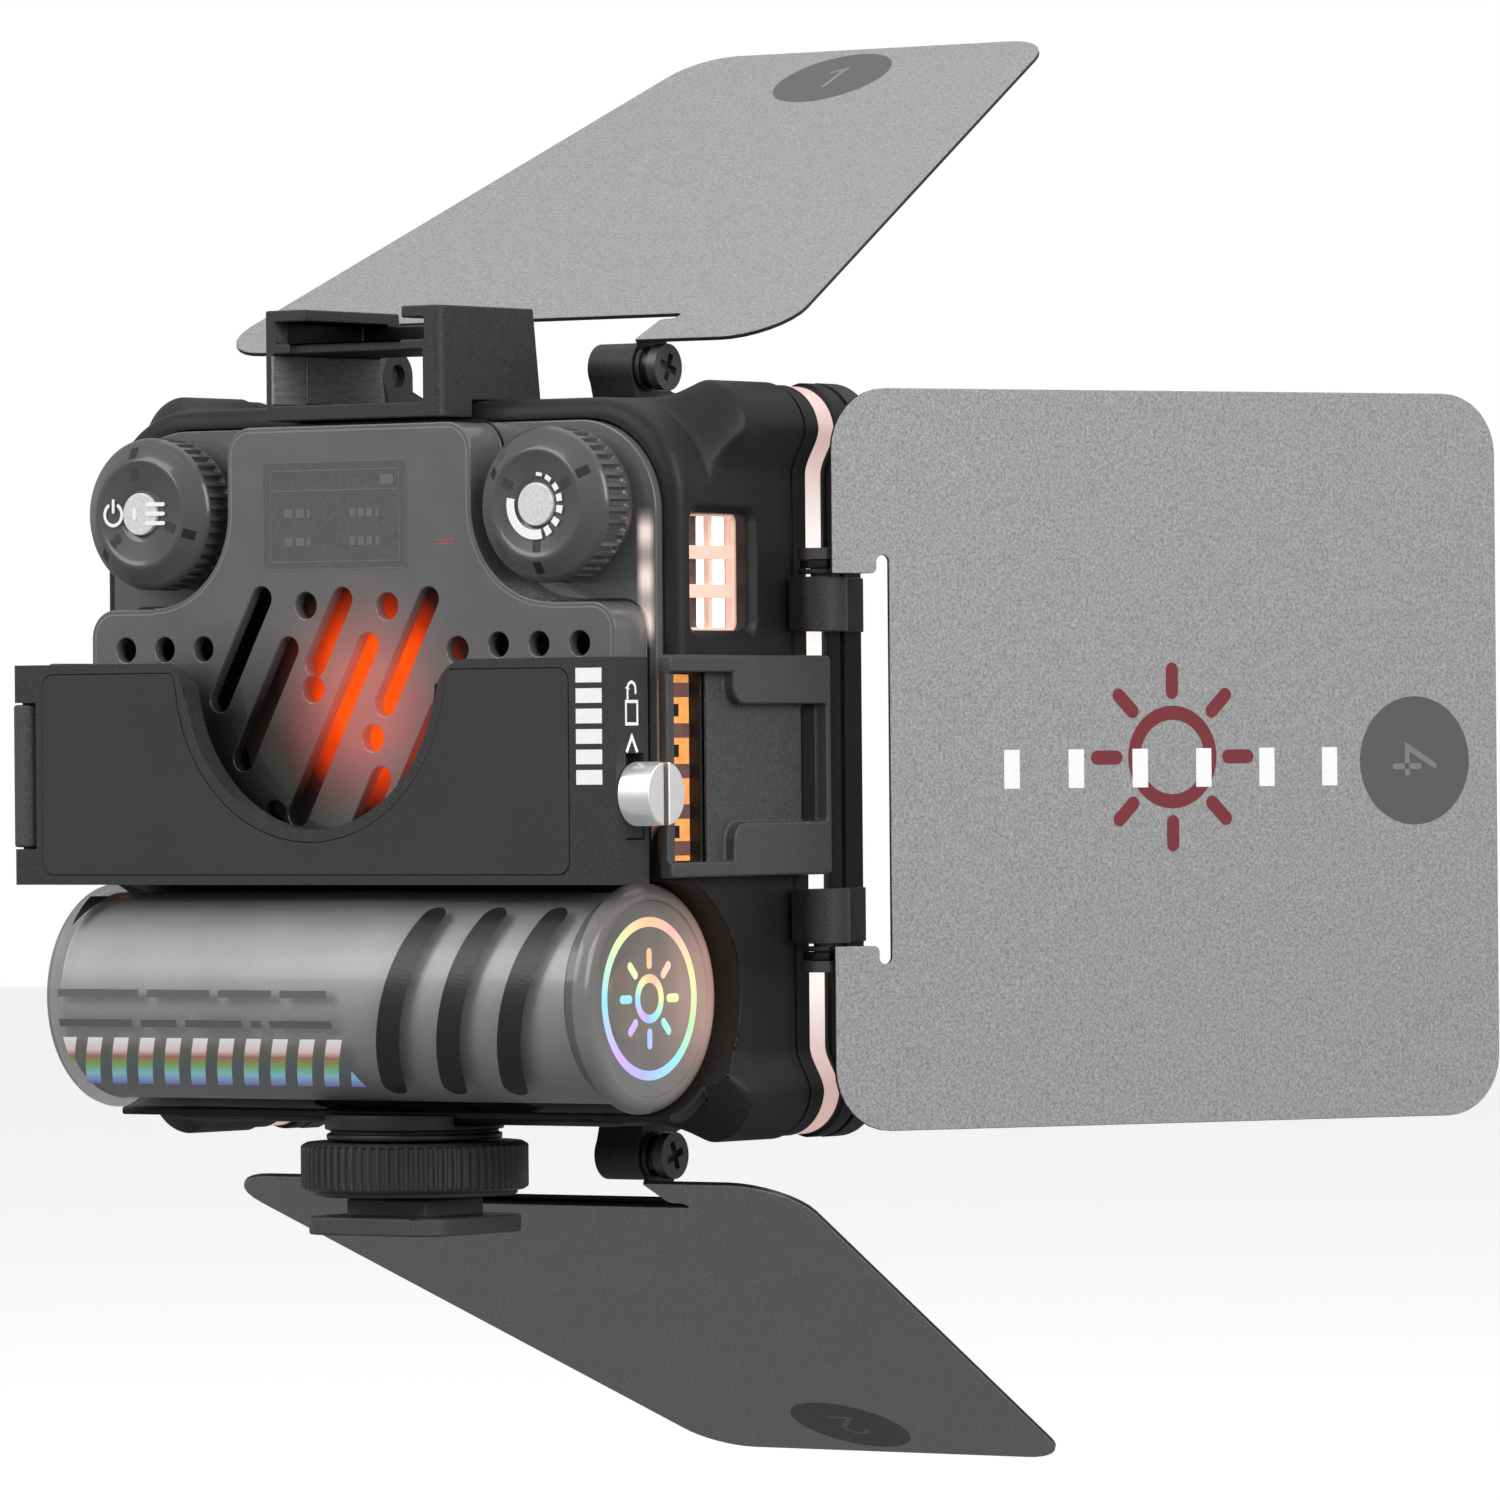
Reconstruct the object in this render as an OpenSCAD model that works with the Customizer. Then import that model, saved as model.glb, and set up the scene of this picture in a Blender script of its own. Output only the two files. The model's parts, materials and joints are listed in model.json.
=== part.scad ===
// Pocket video light with a four-leaf barn door attachment, held by a shoe foot.
// The light shines along +Y, its knobs face -Y, and the foot's underside is at Z = 0.

/* [Light body] */
// Width and height of the housing between its corner bumpers
body_w = 76; // [75.6:0.1:76.2]
// Width and height over the corner bumpers
bumper_w = 79.6; // [79:0.1:79.8]
// Corner radius over the bumpers
bumper_r = 5.4; // [4.5:0.1:6]
// Corner radius of the housing's rear rim
rim_r = 11; // [10:0.5:12]
// Depth of the housing from its rear rim to the glowing edge
housing_d = 23.4; // [23.4:0.1:24]
// Thickness of the housing wall
wall = 2; // [1.8:0.1:2.2]
// Depth of the diffuser's glowing edge
glow_d = 3; // [2.4:0.1:3]
// Depth of the bezel in front of the glowing edge
bezel_d = 3.1; // [2.6:0.1:3.1]
// Distance from the foot's underside up to the middle of the light
light_z = 49.6; // [49.4:0.1:50]
// Distance from the foot's middle forward to the hinge plane
light_y = 16.3; // [16:0.1:16.5]

/* [Barn door leaves] */
// Distance from the light's middle to each hinge axis
hinge_half = 41.7; // [41.6:0.1:42.5]
// Length of a leaf from its hinge edge to its far edge
leaf_len = 81.9; // [76:0.1:84]
// Width of the left and right leaves
side_leaf_w = 77.8; // [74:0.2:78]
// Width of the top and bottom leaves at the hinge edge
end_leaf_w = 76.4; // [72:0.2:76.4]
// Width of the top and bottom leaves at the far edge
end_leaf_tip_w = 48; // [36:0.5:48]
// Thickness of the leaf sheet
leaf_t = 0.5; // [0.4:0.05:0.5]
// Distance from the hinge axis to a leaf's outer face
leaf_off = 3.7; // [3.6:0.05:3.8]
// How far a leaf's hinge edge reaches behind the hinge axis
leaf_back = 0.8; // [0.6:0.1:1.2]
// Width of the notch between a leaf's two ears
notch_w = 39; // [38.9:0.1:39.1]
// Outward lean of the left and right leaves at rest
side_lean = 26.5; // [0:0.5:60]
// Outward lean of the top leaf at rest
top_lean = 25.5; // [0:0.5:60]
// Outward lean of the bottom leaf at rest
bottom_lean = 24; // [0:0.5:60]

/* [Controls] */
// Diameter of each knob's grip
knob_d = 16.2; // [14:0.2:17]
// Sideways distance of each knob from the middle
knob_x = 26; // [25.5:0.1:26.5]
// Height of the knobs above the middle of the light
knob_z = 26.7; // [26:0.1:27]
// Number of flutes around a knob
knob_flutes = 36; // [24:1:48]

/* [Battery tube] */
// Diameter of the clear battery tube
tube_d = 24; // [23.4:0.1:24]
// Length of the clear battery tube
tube_len = 71; // [69:0.5:71.5]
// Diameter of the battery cell
cell_d = 18.4; // [18:0.1:18.6]
// Length of the battery cell
cell_len = 65; // [64:0.5:66]

/* [Back clamp] */
// Height of the clamp plate
plate_h = 23.4; // [22:0.2:23.4]
// Thickness of the clamp plate
plate_t = 2.5; // [2:0.1:2.5]
// Radius of the finger cut-out in the clamp plate
cutout_r = 16.5; // [12:0.5:17]

/* [Shoe foot and wheel] */
// Width of the square foot
foot_w = 18; // [17.6:0.1:18.2]
// Thickness of the foot plate
foot_t = 1.9; // [1.6:0.1:2]
// Diameter of the knurled wheel
wheel_d = 24.1; // [22:0.1:25]
// Diameter of the threaded stud
stud_d = 6; // [5.8:0.1:6.2]
// Number of knurls around the wheel
wheel_knurls = 60; // [40:1:72]

/* [Hidden] */
$fn = 48;

body_half = body_w / 2;
bumper_half = bumper_w / 2;
bumper_foot = 30.4;        // where a bumper starts to rise from the side
bumper_top = 34.6;         // where a bumper reaches its full height
bumper_back = -11;         // where the bumpers' rear slopes end
bumper_slope = 4;          // length of the bumpers' rear slopes
front_y = 2.9;             // front edge of the housing
back_y = front_y - housing_d;
glow_y = front_y + glow_d;
bezel_y = glow_y + bezel_d;
ring_y = bezel_y + 0.3;
ring_d = 3.2;
cavity_half = body_half - wall - 0.2;
cover_w = 71.4;
cover_y = back_y - 1;
panel_y = -27;             // face of the raised rear panel
panel_t = 1.5;
panel_half = 34.4;
panel_neck = 16;
panel_shoulder = 16.6;
panel_top = 35.6;
panel_bottom = -12.4;
knob_relief = 10;          // radius of the hollow that clears a knob
knob_y0 = -29.3;
knob_y1 = -22.5;
tube_y = -22.5;
tube_z = -24.5;
cradle_r = tube_d / 2 + 0.3;
cradle_wall = 1.4;
fan_z = 6;
fan_r = 13;
board_z = [19.4, 33.5];
spreader_y = -8.4;
plate_y = -32;
plate_x = [-38.2, 38];
plate_z = -12.6;
cut_x = -1.6;
pin_x = -40.3;
pin_y = -30.5;
clip_x = [38.35, 40];
lock_y = -28.8;
lock_z = -3.3;
shoe_x = [-11.8, 11.6];
shoe_y = [-26.3, -8.3];
shoe_z = 47.9;
shoe_lean = 1.3;           // how far the shoe's front leans back at its top
channel_z = [44.35, 46.65];
window_z = [37.85, 43.3];
tab_z = 39.2;              // top of the shoe's foot tab
tab_screw_x = 7.8;         // place of the tab's two screws
foot_z = -light_z;
wheel_z = [-45.1, -39.9];
neck_w = 10.4;             // square neck between the foot and the wheel
neck_top = -45.9;
boss_r = 9.5;
boss_z = [-38.6, -36.9];
knuckle_r = 2.65;
knuckle_w = [13.5, 19.2];  // span of a knuckle along its hinge axis
washer_w = [20.08, 20.94];
screw_w = [21, 22.2];
screw_r = 1.2;

// ---- helpers ----

// Moves a part from the light's own frame, centred on the hinge plane, to the foot's.
module at_light() translate([0, light_y, light_z]) children();

// Extrudes a drawing of (x, z) from y0 to y1.
module along_y(y0, y1) translate([0, y1, 0]) rotate([90, 0, 0]) linear_extrude(y1 - y0) children();

// Extrudes a drawing of (y, z) from x0 to x1.
module along_x(x0, x1) translate([x0, 0, 0]) rotate([90, 0, 90]) linear_extrude(x1 - x0) children();

module rod_x(y, z, r, x0, x1) translate([x0, y, z]) rotate([0, 90, 0]) cylinder(r = r, h = x1 - x0);
module rod_y(x, z, r, y0, y1) translate([x, y1, z]) rotate([90, 0, 0]) cylinder(r = r, h = y1 - y0);
module rod_z(x, y, r, z0, z1) translate([x, y, z0]) cylinder(r = r, h = z1 - z0);

// A box between two opposite corners.
module block(a, b) translate(a) cube(b - a);

// Both mirror images about X = 0.
module both_sides() {
  children();
  mirror([1, 0, 0]) children();
}

module rounded_rect(w, h, r) {
  square([w - 2 * r, h], center = true);
  square([w, h - 2 * r], center = true);
  for (sx = [-1, 1], sy = [-1, 1])
    translate([sx * (w / 2 - r), sy * (h / 2 - r)]) circle(r);
}

// A round-ended slot of a given length, centred, at an angle from the x direction.
module slot(len, w, angle) rotate(angle) {
  square([len - w, w], center = true);
  for (s = [-1, 1]) translate([s * (len - w) / 2, 0]) circle(w / 2);
}

// A wheel outline with a number of shallow pointed ridges.
module ridged(r, depth, count)
  polygon([for (i = [0 : 2 * count - 1])
    let (q = r - depth * (i % 2), a = 180 * i / count) q * [cos(a), sin(a)]]);

function unit(v) = v / norm(v);

// The arc that rounds corner b of the path a, b, c.
function corner_arc(a, b, c, r, steps = 8) =
  r == 0 ? [b] :
  let (u = unit(a - b), v = unit(c - b), half = acos(u * v) / 2,
       o = b + unit(u + v) * r / sin(half),
       p = b + u * r / tan(half) - o, q = b + v * r / tan(half) - o,
       start = atan2(p.y, p.x), turn = (atan2(q.y, q.x) - start + 540) % 360 - 180)
  [for (i = [0 : steps]) let (t = start + turn * i / steps) o + r * [cos(t), sin(t)]];

// A closed outline whose corners are [x, y, radius].
function rounded(corners) =
  let (n = len(corners))
  [for (i = [0 : n - 1])
    let (a = corners[(i + n - 1) % n], b = corners[i], c = corners[(i + 1) % n])
    each corner_arc([a.x, a.y], [b.x, b.y], [c.x, c.y], b[2])];

// ---- light body ----

// Front outline of the light: straight sides that step out to a bumper at each corner.
module light_outline(grow = 0) {
  b = body_half + grow;
  o = bumper_half + grow;
  intersection() {
    rounded_rect(2 * o, 2 * o, bumper_r + grow);
    union() {
      square(2 * b, center = true);
      for (a = [0, 90, 180, 270]) rotate(a)
        polygon([[bumper_foot, 0], [b, bumper_foot], [o, bumper_top], [o, o],
                 [bumper_top, o], [bumper_foot, b], [0, bumper_foot]]);
    }
  }
}

// The slope behind the bumpers, as the wedge to cut from one side.
module bumper_cut()
  translate([0, 0, -50]) linear_extrude(100)
    polygon([[body_half, bumper_back - bumper_slope - 0.1], [bumper_half + 0.1, bumper_back],
             [50, bumper_back], [50, bumper_back - bumper_slope - 0.1]]);

module rear_housing() at_light() color("#26272a") difference() {
  union() {
    difference() {
      union() {
        difference() {
          along_y(bumper_back - bumper_slope, front_y) light_outline();
          for (a = [0, 90, 180, 270]) rotate([0, a, 0]) bumper_cut();
        }
        along_y(back_y, bumper_back) rounded_rect(body_w, body_w, rim_r);
      }
      block([-cavity_half, back_y + wall, -cavity_half], [cavity_half, front_y + 1, cavity_half]);
    }
    intersection() {
      rod_x(tube_y, tube_z, cradle_r + cradle_wall, -cavity_half - 0.5, cavity_half + 0.5);
      block([-40, back_y, -37], [40, 0, 0]);
    }
  }
  // opening for the rear cover
  along_y(back_y - 1, back_y + wall + 1) translate([0, 11.6])
    rounded_rect(cover_w + 0.3, 48.3, rim_r - 1.2);
  // cradle of the battery tube, open at both sides
  rod_x(tube_y, tube_z, cradle_r, -body_half - 1, body_half + 1);
  // side window in front of the glowing grille
  along_x(cavity_half - 1, body_half + 1) translate([-12.65, 19.65]) rounded_rect(10.5, 12.1, 0.8);
  // air vents at both sides of the heat sink, open to the rear
  both_sides() block([cavity_half - 1, back_y - 1, -10.6], [body_half + 1, -17, 9.2]);
  // charging socket in the left side
  along_x(-body_half - 1, -cavity_half + 1) translate([-13, 20]) rounded_rect(3.4, 9.2, 1.6);
  // seat of the thread insert
  rod_z(0, -light_y, 4.1, -40, -35);
}

// Bell-shaped outline of the raised rear panel, drawn smaller by an inset.
module panel_outline(inset = 0) difference() {
  union() {
    translate([0, (panel_bottom + panel_shoulder) / 2])
      rounded_rect(2 * (panel_half - inset), panel_shoulder - panel_bottom - 2 * inset, 3);
    translate([0, (panel_bottom + panel_top) / 2])
      rounded_rect(2 * (panel_neck - inset), panel_top - panel_bottom - 2 * inset, 3);
    translate([-knob_x + inset, 0]) square([2 * (knob_x - inset), knob_z - inset]);
  }
  for (s = [-1, 1]) translate([s * knob_x, knob_z]) circle(knob_relief + inset);
}

vent_lean = 62;            // lean of the long vents from level
vent_w = 2.6;
// Long vents over the fan, as [x, z, length]
long_vents = [[-14.4, 12.2, 14.6], [-11.1, 6.4, 15.6], [-2.7, 13.9, 10.2], [7.5, 11.7, 14.9],
  [-2.2, 3.6, 22.6], [9.4, 1, 12.4], [2.4, -4.6, 9.4]];
// Round vents over the fan, as [x, z]
round_vents = [[-5.7, 16.7], [5, 16.5], [14.1, 11.8], [-4.8, 7.9], [3, 2.7], [-10, -5.2], [10.6, -9]];
side_hole_x = [19.4, 24.6, 29.8];
side_hole_z = 12.3;

module vents() {
  for (v = long_vents) translate([v.x, v.y]) slot(v[2], vent_w, vent_lean);
  for (v = round_vents) translate(v) circle(1.4);
  for (s = [-1, 1], x = side_hole_x) translate([s * x, side_hole_z]) circle(1.3);
}

module rear_cover() at_light() color("#5a5557") difference() {
  union() {
    along_y(cover_y, back_y + 0.6) translate([0, 11.6]) rounded_rect(cover_w, 48, rim_r - 1.3);
    along_y(panel_y, cover_y) panel_outline();
  }
  along_y(panel_y + panel_t, back_y + 1) panel_outline(panel_t);
  along_y(panel_y - 1, panel_y + panel_t + 1) vents();
  for (s = [-1, 1]) rod_y(s * knob_x, knob_z, 3.6, cover_y - 1, back_y + 1);
  rod_x(tube_y, tube_z, cradle_r, -40, 40);
}

module front_bezel() at_light() color("#1d1d1f") difference() {
  along_y(glow_y + 0.05, bezel_y) light_outline(0.1);
  block([-33, glow_y - 1, -33], [33, bezel_y + 1, 33]);
}

module diffuser() at_light() color("#ffe9e2") union() {
  along_y(front_y + 0.05, glow_y) light_outline(0);
  block([-32.8, glow_y, -32.8], [32.8, glow_y + 1.2, 32.8]);
}

module light_box() at_light() color("white") difference() {
  block([-34.6, -6.1, -34.6], [34.6, front_y, 34.6]);
  block([-33, -7, -33], [33, front_y + 1, 33]);
}

module led_board() at_light() color("#e8ead8")
  block([-34.6, spreader_y + 0.05, -34.6], [34.6, spreader_y + 1.3, 34.6]);

led_pitch = 8.6;
led_rows = 7;

// One lamp chip at every second place of the grid, starting at the given parity.
module led_chips(parity) for (i = [0 : led_rows - 1], j = [0 : led_rows - 1])
  if ((i + j) % 2 == parity)
    translate([(i - 3) * led_pitch, spreader_y + 1.7, (j - 3) * led_pitch])
      cube([2.8, 0.7, 3.5], center = true);

module warm_leds() at_light() color("#f2b45c") led_chips(0);
module cool_leds() at_light() color("#f6f3c8") led_chips(1);

module heat_sink() at_light() color("#c8762f") union() {
  block([-34.5, spreader_y - 1.5, -9.8], [34.5, spreader_y, 34.4]);
  for (i = [0 : 4]) translate([0, 0, -9 + 4 * i])
    block([-35.2, -18.3, 0], [35.2, spreader_y - 1.4, 1.4]);
  for (s = [-1, 1], i = [0 : 3]) translate([s * (14 + 6 * i), 0, 0])
    block([-0.6, -18.2, -9.6], [0.6, spreader_y - 1.4, 8]);
  // tips of the fins behind the side vents
  both_sides() for (i = [0 : 4]) block([30, -19.7, 4 * i - 9], [35.2, -18.2, 4 * i - 7.6]);
}

module fan_frame() at_light() color("#1b1b1d") translate([0, 0, fan_z]) union() {
  difference() {
    rod_y(0, 0, fan_r, -25.2, -19.3);
    rod_y(0, 0, fan_r - 1, -26, -18);
  }
  rod_y(0, 0, 5.5, -20.3, -19.3);
  for (i = [0 : 2]) rotate([0, 120 * i + 20, 0])
    block([5, -20.3, -0.8], [fan_r - 0.5, -19.3, 0.8]);
}

module fan_rotor() at_light() color("#2c2c2e") translate([0, 0, fan_z]) union() {
  rod_y(0, 0, 5.2, -24.8, -20.7);
  for (i = [0 : 6]) rotate([0, 360 / 7 * i, 0]) translate([8.2, -22.7, 0])
    rotate([35, 0, 0]) cube([6.8, 3.6, 0.7], center = true);
}

module control_board() at_light() color("#1f5a3a") difference() {
  block([-31, -19.3, board_z[0]], [31, -18.1, board_z[1]]);
  for (s = [-1, 1]) rod_y(s * knob_x, knob_z, 1, -20, -18);
}

module display() at_light() color("#3a3a3f")
  block([-11.4, -25.4, 19.8], [8.4, -23.4, 33.2]);

module encoders() at_light() color("#9a9a9c") for (s = [-1, 1]) difference() {
  union() {
    rod_y(s * knob_x, knob_z, 3.4, -21.8, -19.35);
    block([s * knob_x - 3.2, -19.9, knob_z - 3.2], [s * knob_x + 3.2, -19.35, knob_z + 3.2]);
  }
  rod_y(s * knob_x, knob_z, 1.55, -23, -20.4);
}

module side_light_grille() at_light() color("#ffe2d8") union() {
  difference() {
    block([34.9, -18.3, 12.6], [35.7, -7, 27]);
    block([34, -17.4, 13.9], [36, -7.9, 25.5]);
  }
  for (i = [0 : 1]) block([34.7, -17.5, 17 + 4.05 * i], [35.7, -7.8, 18.4 + 4.05 * i]);
  block([34.7, -11.6, 13.8], [35.4, -11, 25.6]);
}

module usb_port() at_light() color("silver") difference() {
  along_x(-body_half + 0.2, -30.5) translate([-13, 20]) rounded_rect(3.2, 9, 1.5);
  along_x(-body_half - 1, -32) translate([-13, 20]) rounded_rect(2.5, 8.3, 1.2);
}

module plunger(s) at_light() color("#b0b0b2") rod_y(s * knob_x, knob_z, 1.5, -27.4, -21.3);
module left_plunger() plunger(-1);
module right_plunger() plunger(1);

module knob(s) at_light() color("#353335") translate([s * knob_x, 0, knob_z]) difference() {
  union() {
    along_y(knob_y0 + 0.9, knob_y1) ridged(knob_d / 2, 0.35, knob_flutes);
    rod_y(0, 0, knob_d / 2 - 0.7, knob_y0, knob_y0 + 1);
  }
  rod_y(0, 0, knob_d / 2 - 2, knob_y0 + 1.8, knob_y1 + 1);
  rod_y(0, 0, 2.3, knob_y0 - 1, knob_y0 + 0.8);
}

// The hub inside a knob that turns on the plunger.
module knob_hub(s) at_light() color("#353335") translate([s * knob_x, 0, knob_z]) difference() {
  rod_y(0, 0, 2.9, knob_y0 + 1.2, knob_y1 - 0.2);
  rod_y(0, 0, 1.55, knob_y0 + 1.75, knob_y1);
}
module left_knob() union() { knob(-1); knob_hub(-1); }
module right_knob() union() { knob(1); knob_hub(1); }

module knob_disc(s) at_light() color("silver") rod_y(s * knob_x, knob_z, 2.25, knob_y0 - 0.05, knob_y0 + 0.75);
module left_knob_disc() knob_disc(-1);
module right_knob_disc() knob_disc(1);

// ---- battery tube ----

module battery_tube() at_light() color("#8d8d90") difference() {
  rod_x(tube_y, tube_z, tube_d / 2, -tube_len / 2, tube_len / 2 - 1.6);
  rod_x(tube_y, tube_z, tube_d / 2 - 1, -tube_len / 2 + 1.2, tube_len / 2);
}

module battery_sleeve() at_light() color("#77787b") difference() {
  rod_x(tube_y, tube_z, tube_d / 2 - 1.05, -tube_len / 2 + 1.6, tube_len / 2 - 3.4);
  rod_x(tube_y, tube_z, cell_d / 2 + 0.1, -tube_len / 2 + 1, tube_len / 2);
}

module battery_cell() at_light() color("#4a4b4f") union() {
  rod_x(tube_y, tube_z, cell_d / 2, -cell_len / 2 - 0.8, cell_len / 2 - 0.8);
  rod_x(tube_y, tube_z, 3, cell_len / 2 - 0.9, cell_len / 2 + 0.1);
}

module tube_cap() at_light() color("#9c9694") union() {
  rod_x(tube_y, tube_z, tube_d / 2, tube_len / 2 - 1.55, tube_len / 2);
  difference() {
    rod_x(tube_y, tube_z, tube_d / 2 - 1.1, tube_len / 2 - 3.3, tube_len / 2 - 1);
    rod_x(tube_y, tube_z, tube_d / 2 - 2.6, tube_len / 2 - 4, tube_len / 2 - 1.5);
  }
}

module tube_contact() at_light() color("gold") union() {
  rod_x(tube_y, tube_z, 4.5, -tube_len / 2 + 1.25, -tube_len / 2 + 1.9);
  rod_x(tube_y, tube_z, 4.5, cell_len / 2 + 0.15, cell_len / 2 + 0.7);
}

// ---- back clamp ----

module cutout(grow = 0) {
  top = plate_z + plate_h;
  r = cutout_r + grow;
  lip = 4 - grow;
  translate([cut_x, top - 1.2]) circle(r);
  translate([cut_x - r, top - 1.2]) square([2 * r, 6]);
  for (s = [-1, 1]) difference() {
    translate([cut_x + s * (r + lip / 2), top - lip / 2 + 0.5]) square([lip + 0.1, lip + 1], center = true);
    translate([cut_x + s * (r + lip), top - lip]) circle(lip);
  }
}

module plate_outline(inset = 0)
  translate([(plate_x[0] + plate_x[1]) / 2, plate_z + plate_h / 2])
    rounded_rect(plate_x[1] - plate_x[0] - 2 * inset, plate_h - 2 * inset, 1.6);

module clamp_plate() at_light() color("#2b2c2e") difference() {
  union() {
    along_y(plate_y, plate_y + plate_t) plate_outline();
    block([35.2, plate_y, plate_z], [plate_x[1], -26.4, plate_z + plate_h]);
    for (z = [[6.8, plate_z + plate_h], [plate_z, -8.8]]) {
      rod_z(pin_x, pin_y, 1.5, z[0], z[1]);
      block([pin_x, plate_y, z[0]], [plate_x[0] + 2, pin_y + 1, z[1]]);
    }
  }
  along_y(plate_y - 1, plate_y + plate_t + 1) cutout();
  // seat of the pad
  along_y(plate_y - 1, plate_y + 0.6) pad_outline(0);
  // channel of the lock slider
  block([36, lock_y - 1.6, -8], [plate_x[1] + 1, lock_y + 1.6, 0.9]);
  rod_z(pin_x, pin_y, 0.72, plate_z - 1, plate_z + plate_h + 1);
}

module pad_outline(gap) difference() {
  translate([-2.65, plate_z + plate_h / 2]) rounded_rect(69.3 - 2 * gap, plate_h - 2 - 2 * gap, 1.4);
  cutout(1.2 + gap);
}

module clamp_pad() at_light() color("#3a3b3d")
  along_y(plate_y - 0.1, plate_y + 0.55) pad_outline(0.1);

module clamp_pin() at_light() color("#1c1c1e") rod_z(pin_x, pin_y, 0.7, plate_z + 0.2, plate_z + plate_h - 0.2);

// C-shaped side clip seen from its own side, with bars running back to the clamp plate.
module clip_outline(bar_back) {
  polygon(rounded([[-13.8, 11, 0], [4, 11, 0.6], [4, -12, 0.6], [-13.8, -12, 0],
    [-13.8, -6.4, 2], [3.2, -6.4, 0.4], [3.2, 5.9, 0.4], [-13.8, 5.9, 2]]));
  translate([bar_back, 9.2]) square([-13 - bar_back, 1.8]);
  translate([bar_back, -12]) square([-13 - bar_back, 1.6]);
}

// Thin stepped sheet that closes a clip's window against the light's right side.
module clip_sheet() {
  block([clip_x[0], -16.9, -10.5], [clip_x[0] + 0.3, 0.5, 9.3]);
  block([clip_x[0], 0.4, -10.5], [clip_x[0] + 0.15, 4, 9.3]);
}

module right_clip() at_light() color("#2b2c2e") union() {
  along_x(clip_x[0], clip_x[1]) clip_outline(-25.1);
  clip_sheet();
  block([clip_x[0], -25.1, -12], [clip_x[1] - 0.5, -23.7, 11]);
}

module left_clip() at_light() color("#2b2c2e") difference() {
  union() {
    along_x(-clip_x[1], -clip_x[0]) clip_outline(-27.6);
    mirror([1, 0, 0]) clip_sheet();
    block([-clip_x[1], -27.6, -12], [-clip_x[0], -25.8, 11]);
    rod_z(pin_x, pin_y, 1.6, -8.6, 6.6);
    block([pin_x - 0.9, pin_y, -8.6], [pin_x + 0.9, -26, 6.6]);
  }
  rod_z(pin_x, pin_y, 0.78, -20, 20);
}

module lock_slider() at_light() color("#3b3c3f") difference() {
  block([36.1, lock_y - 1.5, -7.9], [plate_x[1] - 0.1, lock_y + 1.5, -1.2]);
  rod_x(lock_y, lock_z, 0.95, 36, plate_x[1] + 1);
}

module lock_screw() at_light() color("#d8d8da") difference() {
  union() {
    rod_x(lock_y, lock_z, 0.9, 36.3, 38.5);
    rod_x(lock_y, lock_z, 3.3, 38.1, 42);
  }
  block([41.2, lock_y - 0.45, lock_z - 4], [43, lock_y + 0.45, lock_z + 4]);
}

// ---- top shoe ----

// Plan view of the shoe, with rounded rear corners.
module shoe_plan(front) polygon(rounded([[shoe_x[0], shoe_y[0], 1.2], [shoe_x[0], front, 0],
  [shoe_x[1], front, 0], [shoe_x[1], shoe_y[0], 1.2]]));

module top_shoe() at_light() color("#232426") difference() {
  union() {
    intersection() {
      translate([0, 0, body_half + 0.05]) linear_extrude(shoe_z - body_half - 0.05) shoe_plan(shoe_y[1]);
      along_x(shoe_x[0] - 1, shoe_x[1] + 1) polygon([[shoe_y[0] - 1, body_half], [shoe_y[1], body_half],
        [shoe_y[1] - shoe_lean, shoe_z], [shoe_y[0] - 1, shoe_z]]);
    }
    translate([0, 0, 36.2]) linear_extrude(3) shoe_plan(back_y - 0.05);
  }
  // channel of the shoe with a wider mouth, and the gap between its lips
  translate([0, 0, channel_z[0]]) linear_extrude(channel_z[1] - channel_z[0])
    polygon([[-10.1, shoe_y[0] - 1], [-10.1, shoe_y[0] + 0.2], [-9.4, shoe_y[0] + 1.4], [-9.4, -11.7],
      [9.4, -11.7], [9.4, shoe_y[0] + 1.4], [9.5, shoe_y[0] + 0.2], [9.5, shoe_y[0] - 1]]);
  block([-6.1, shoe_y[0] - 1, channel_z[1] - 0.1], [6.6, shoe_y[1] + 1, shoe_z + 1]);
  // recessed edge of the shelf
  block([-8.2, shoe_y[0] - 1, window_z[1] - 0.1], [6.4, shoe_y[0] + 0.8, channel_z[0] + 0.1]);
  // window under the shoe, over the foot tab
  difference() {
    union() {
      block([-10.3, shoe_y[0] - 1, window_z[0]], [9.3, back_y + 0.1, window_z[1]]);
      translate([0, 0, body_half - 1]) linear_extrude(window_z[1] - body_half + 1)
        polygon([[-10.3, back_y - 0.04], [-8.8, shoe_y[1] + 1], [8.8, shoe_y[1] + 1], [9.3, back_y - 0.04]]);
    }
    block([6.6, -17.5, 37], [12, -9.5, tab_z]);
  }
  for (y = [-15.6, -11.4]) rod_z(tab_screw_x, y, 0.65, 37, 40);
}

module shoe_screw() at_light() color("#3a3a3c") for (y = [-15.6, -11.4]) difference() {
  union() {
    rod_z(tab_screw_x, y, 0.6, body_half + 0.06, tab_z + 0.1);
    rod_z(tab_screw_x, y, 0.95, tab_z + 0.02, tab_z + 0.7);
  }
  block([tab_screw_x - 1.2, y - 0.2, tab_z + 0.4], [tab_screw_x + 1.2, y + 0.2, tab_z + 1]);
}

// ---- foot ----

module base_boss() at_light() color("#232426") difference() {
  union() {
    rod_z(0, -light_y, boss_r, boss_z[0], -body_half - 0.05);
    intersection() {
      rod_z(0, -light_y, boss_r, boss_z[0], boss_z[1]);
      block([-20, -40, -40], [20, back_y - 0.05, -30]);
    }
    rod_z(0, -light_y, boss_r - 0.6, -39.2, boss_z[0] + 0.1);
    rod_z(0, -light_y, boss_r - 0.2, -39.65, -39);
  }
  rod_z(0, -light_y, 4.1, -40, -30);
}

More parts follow.
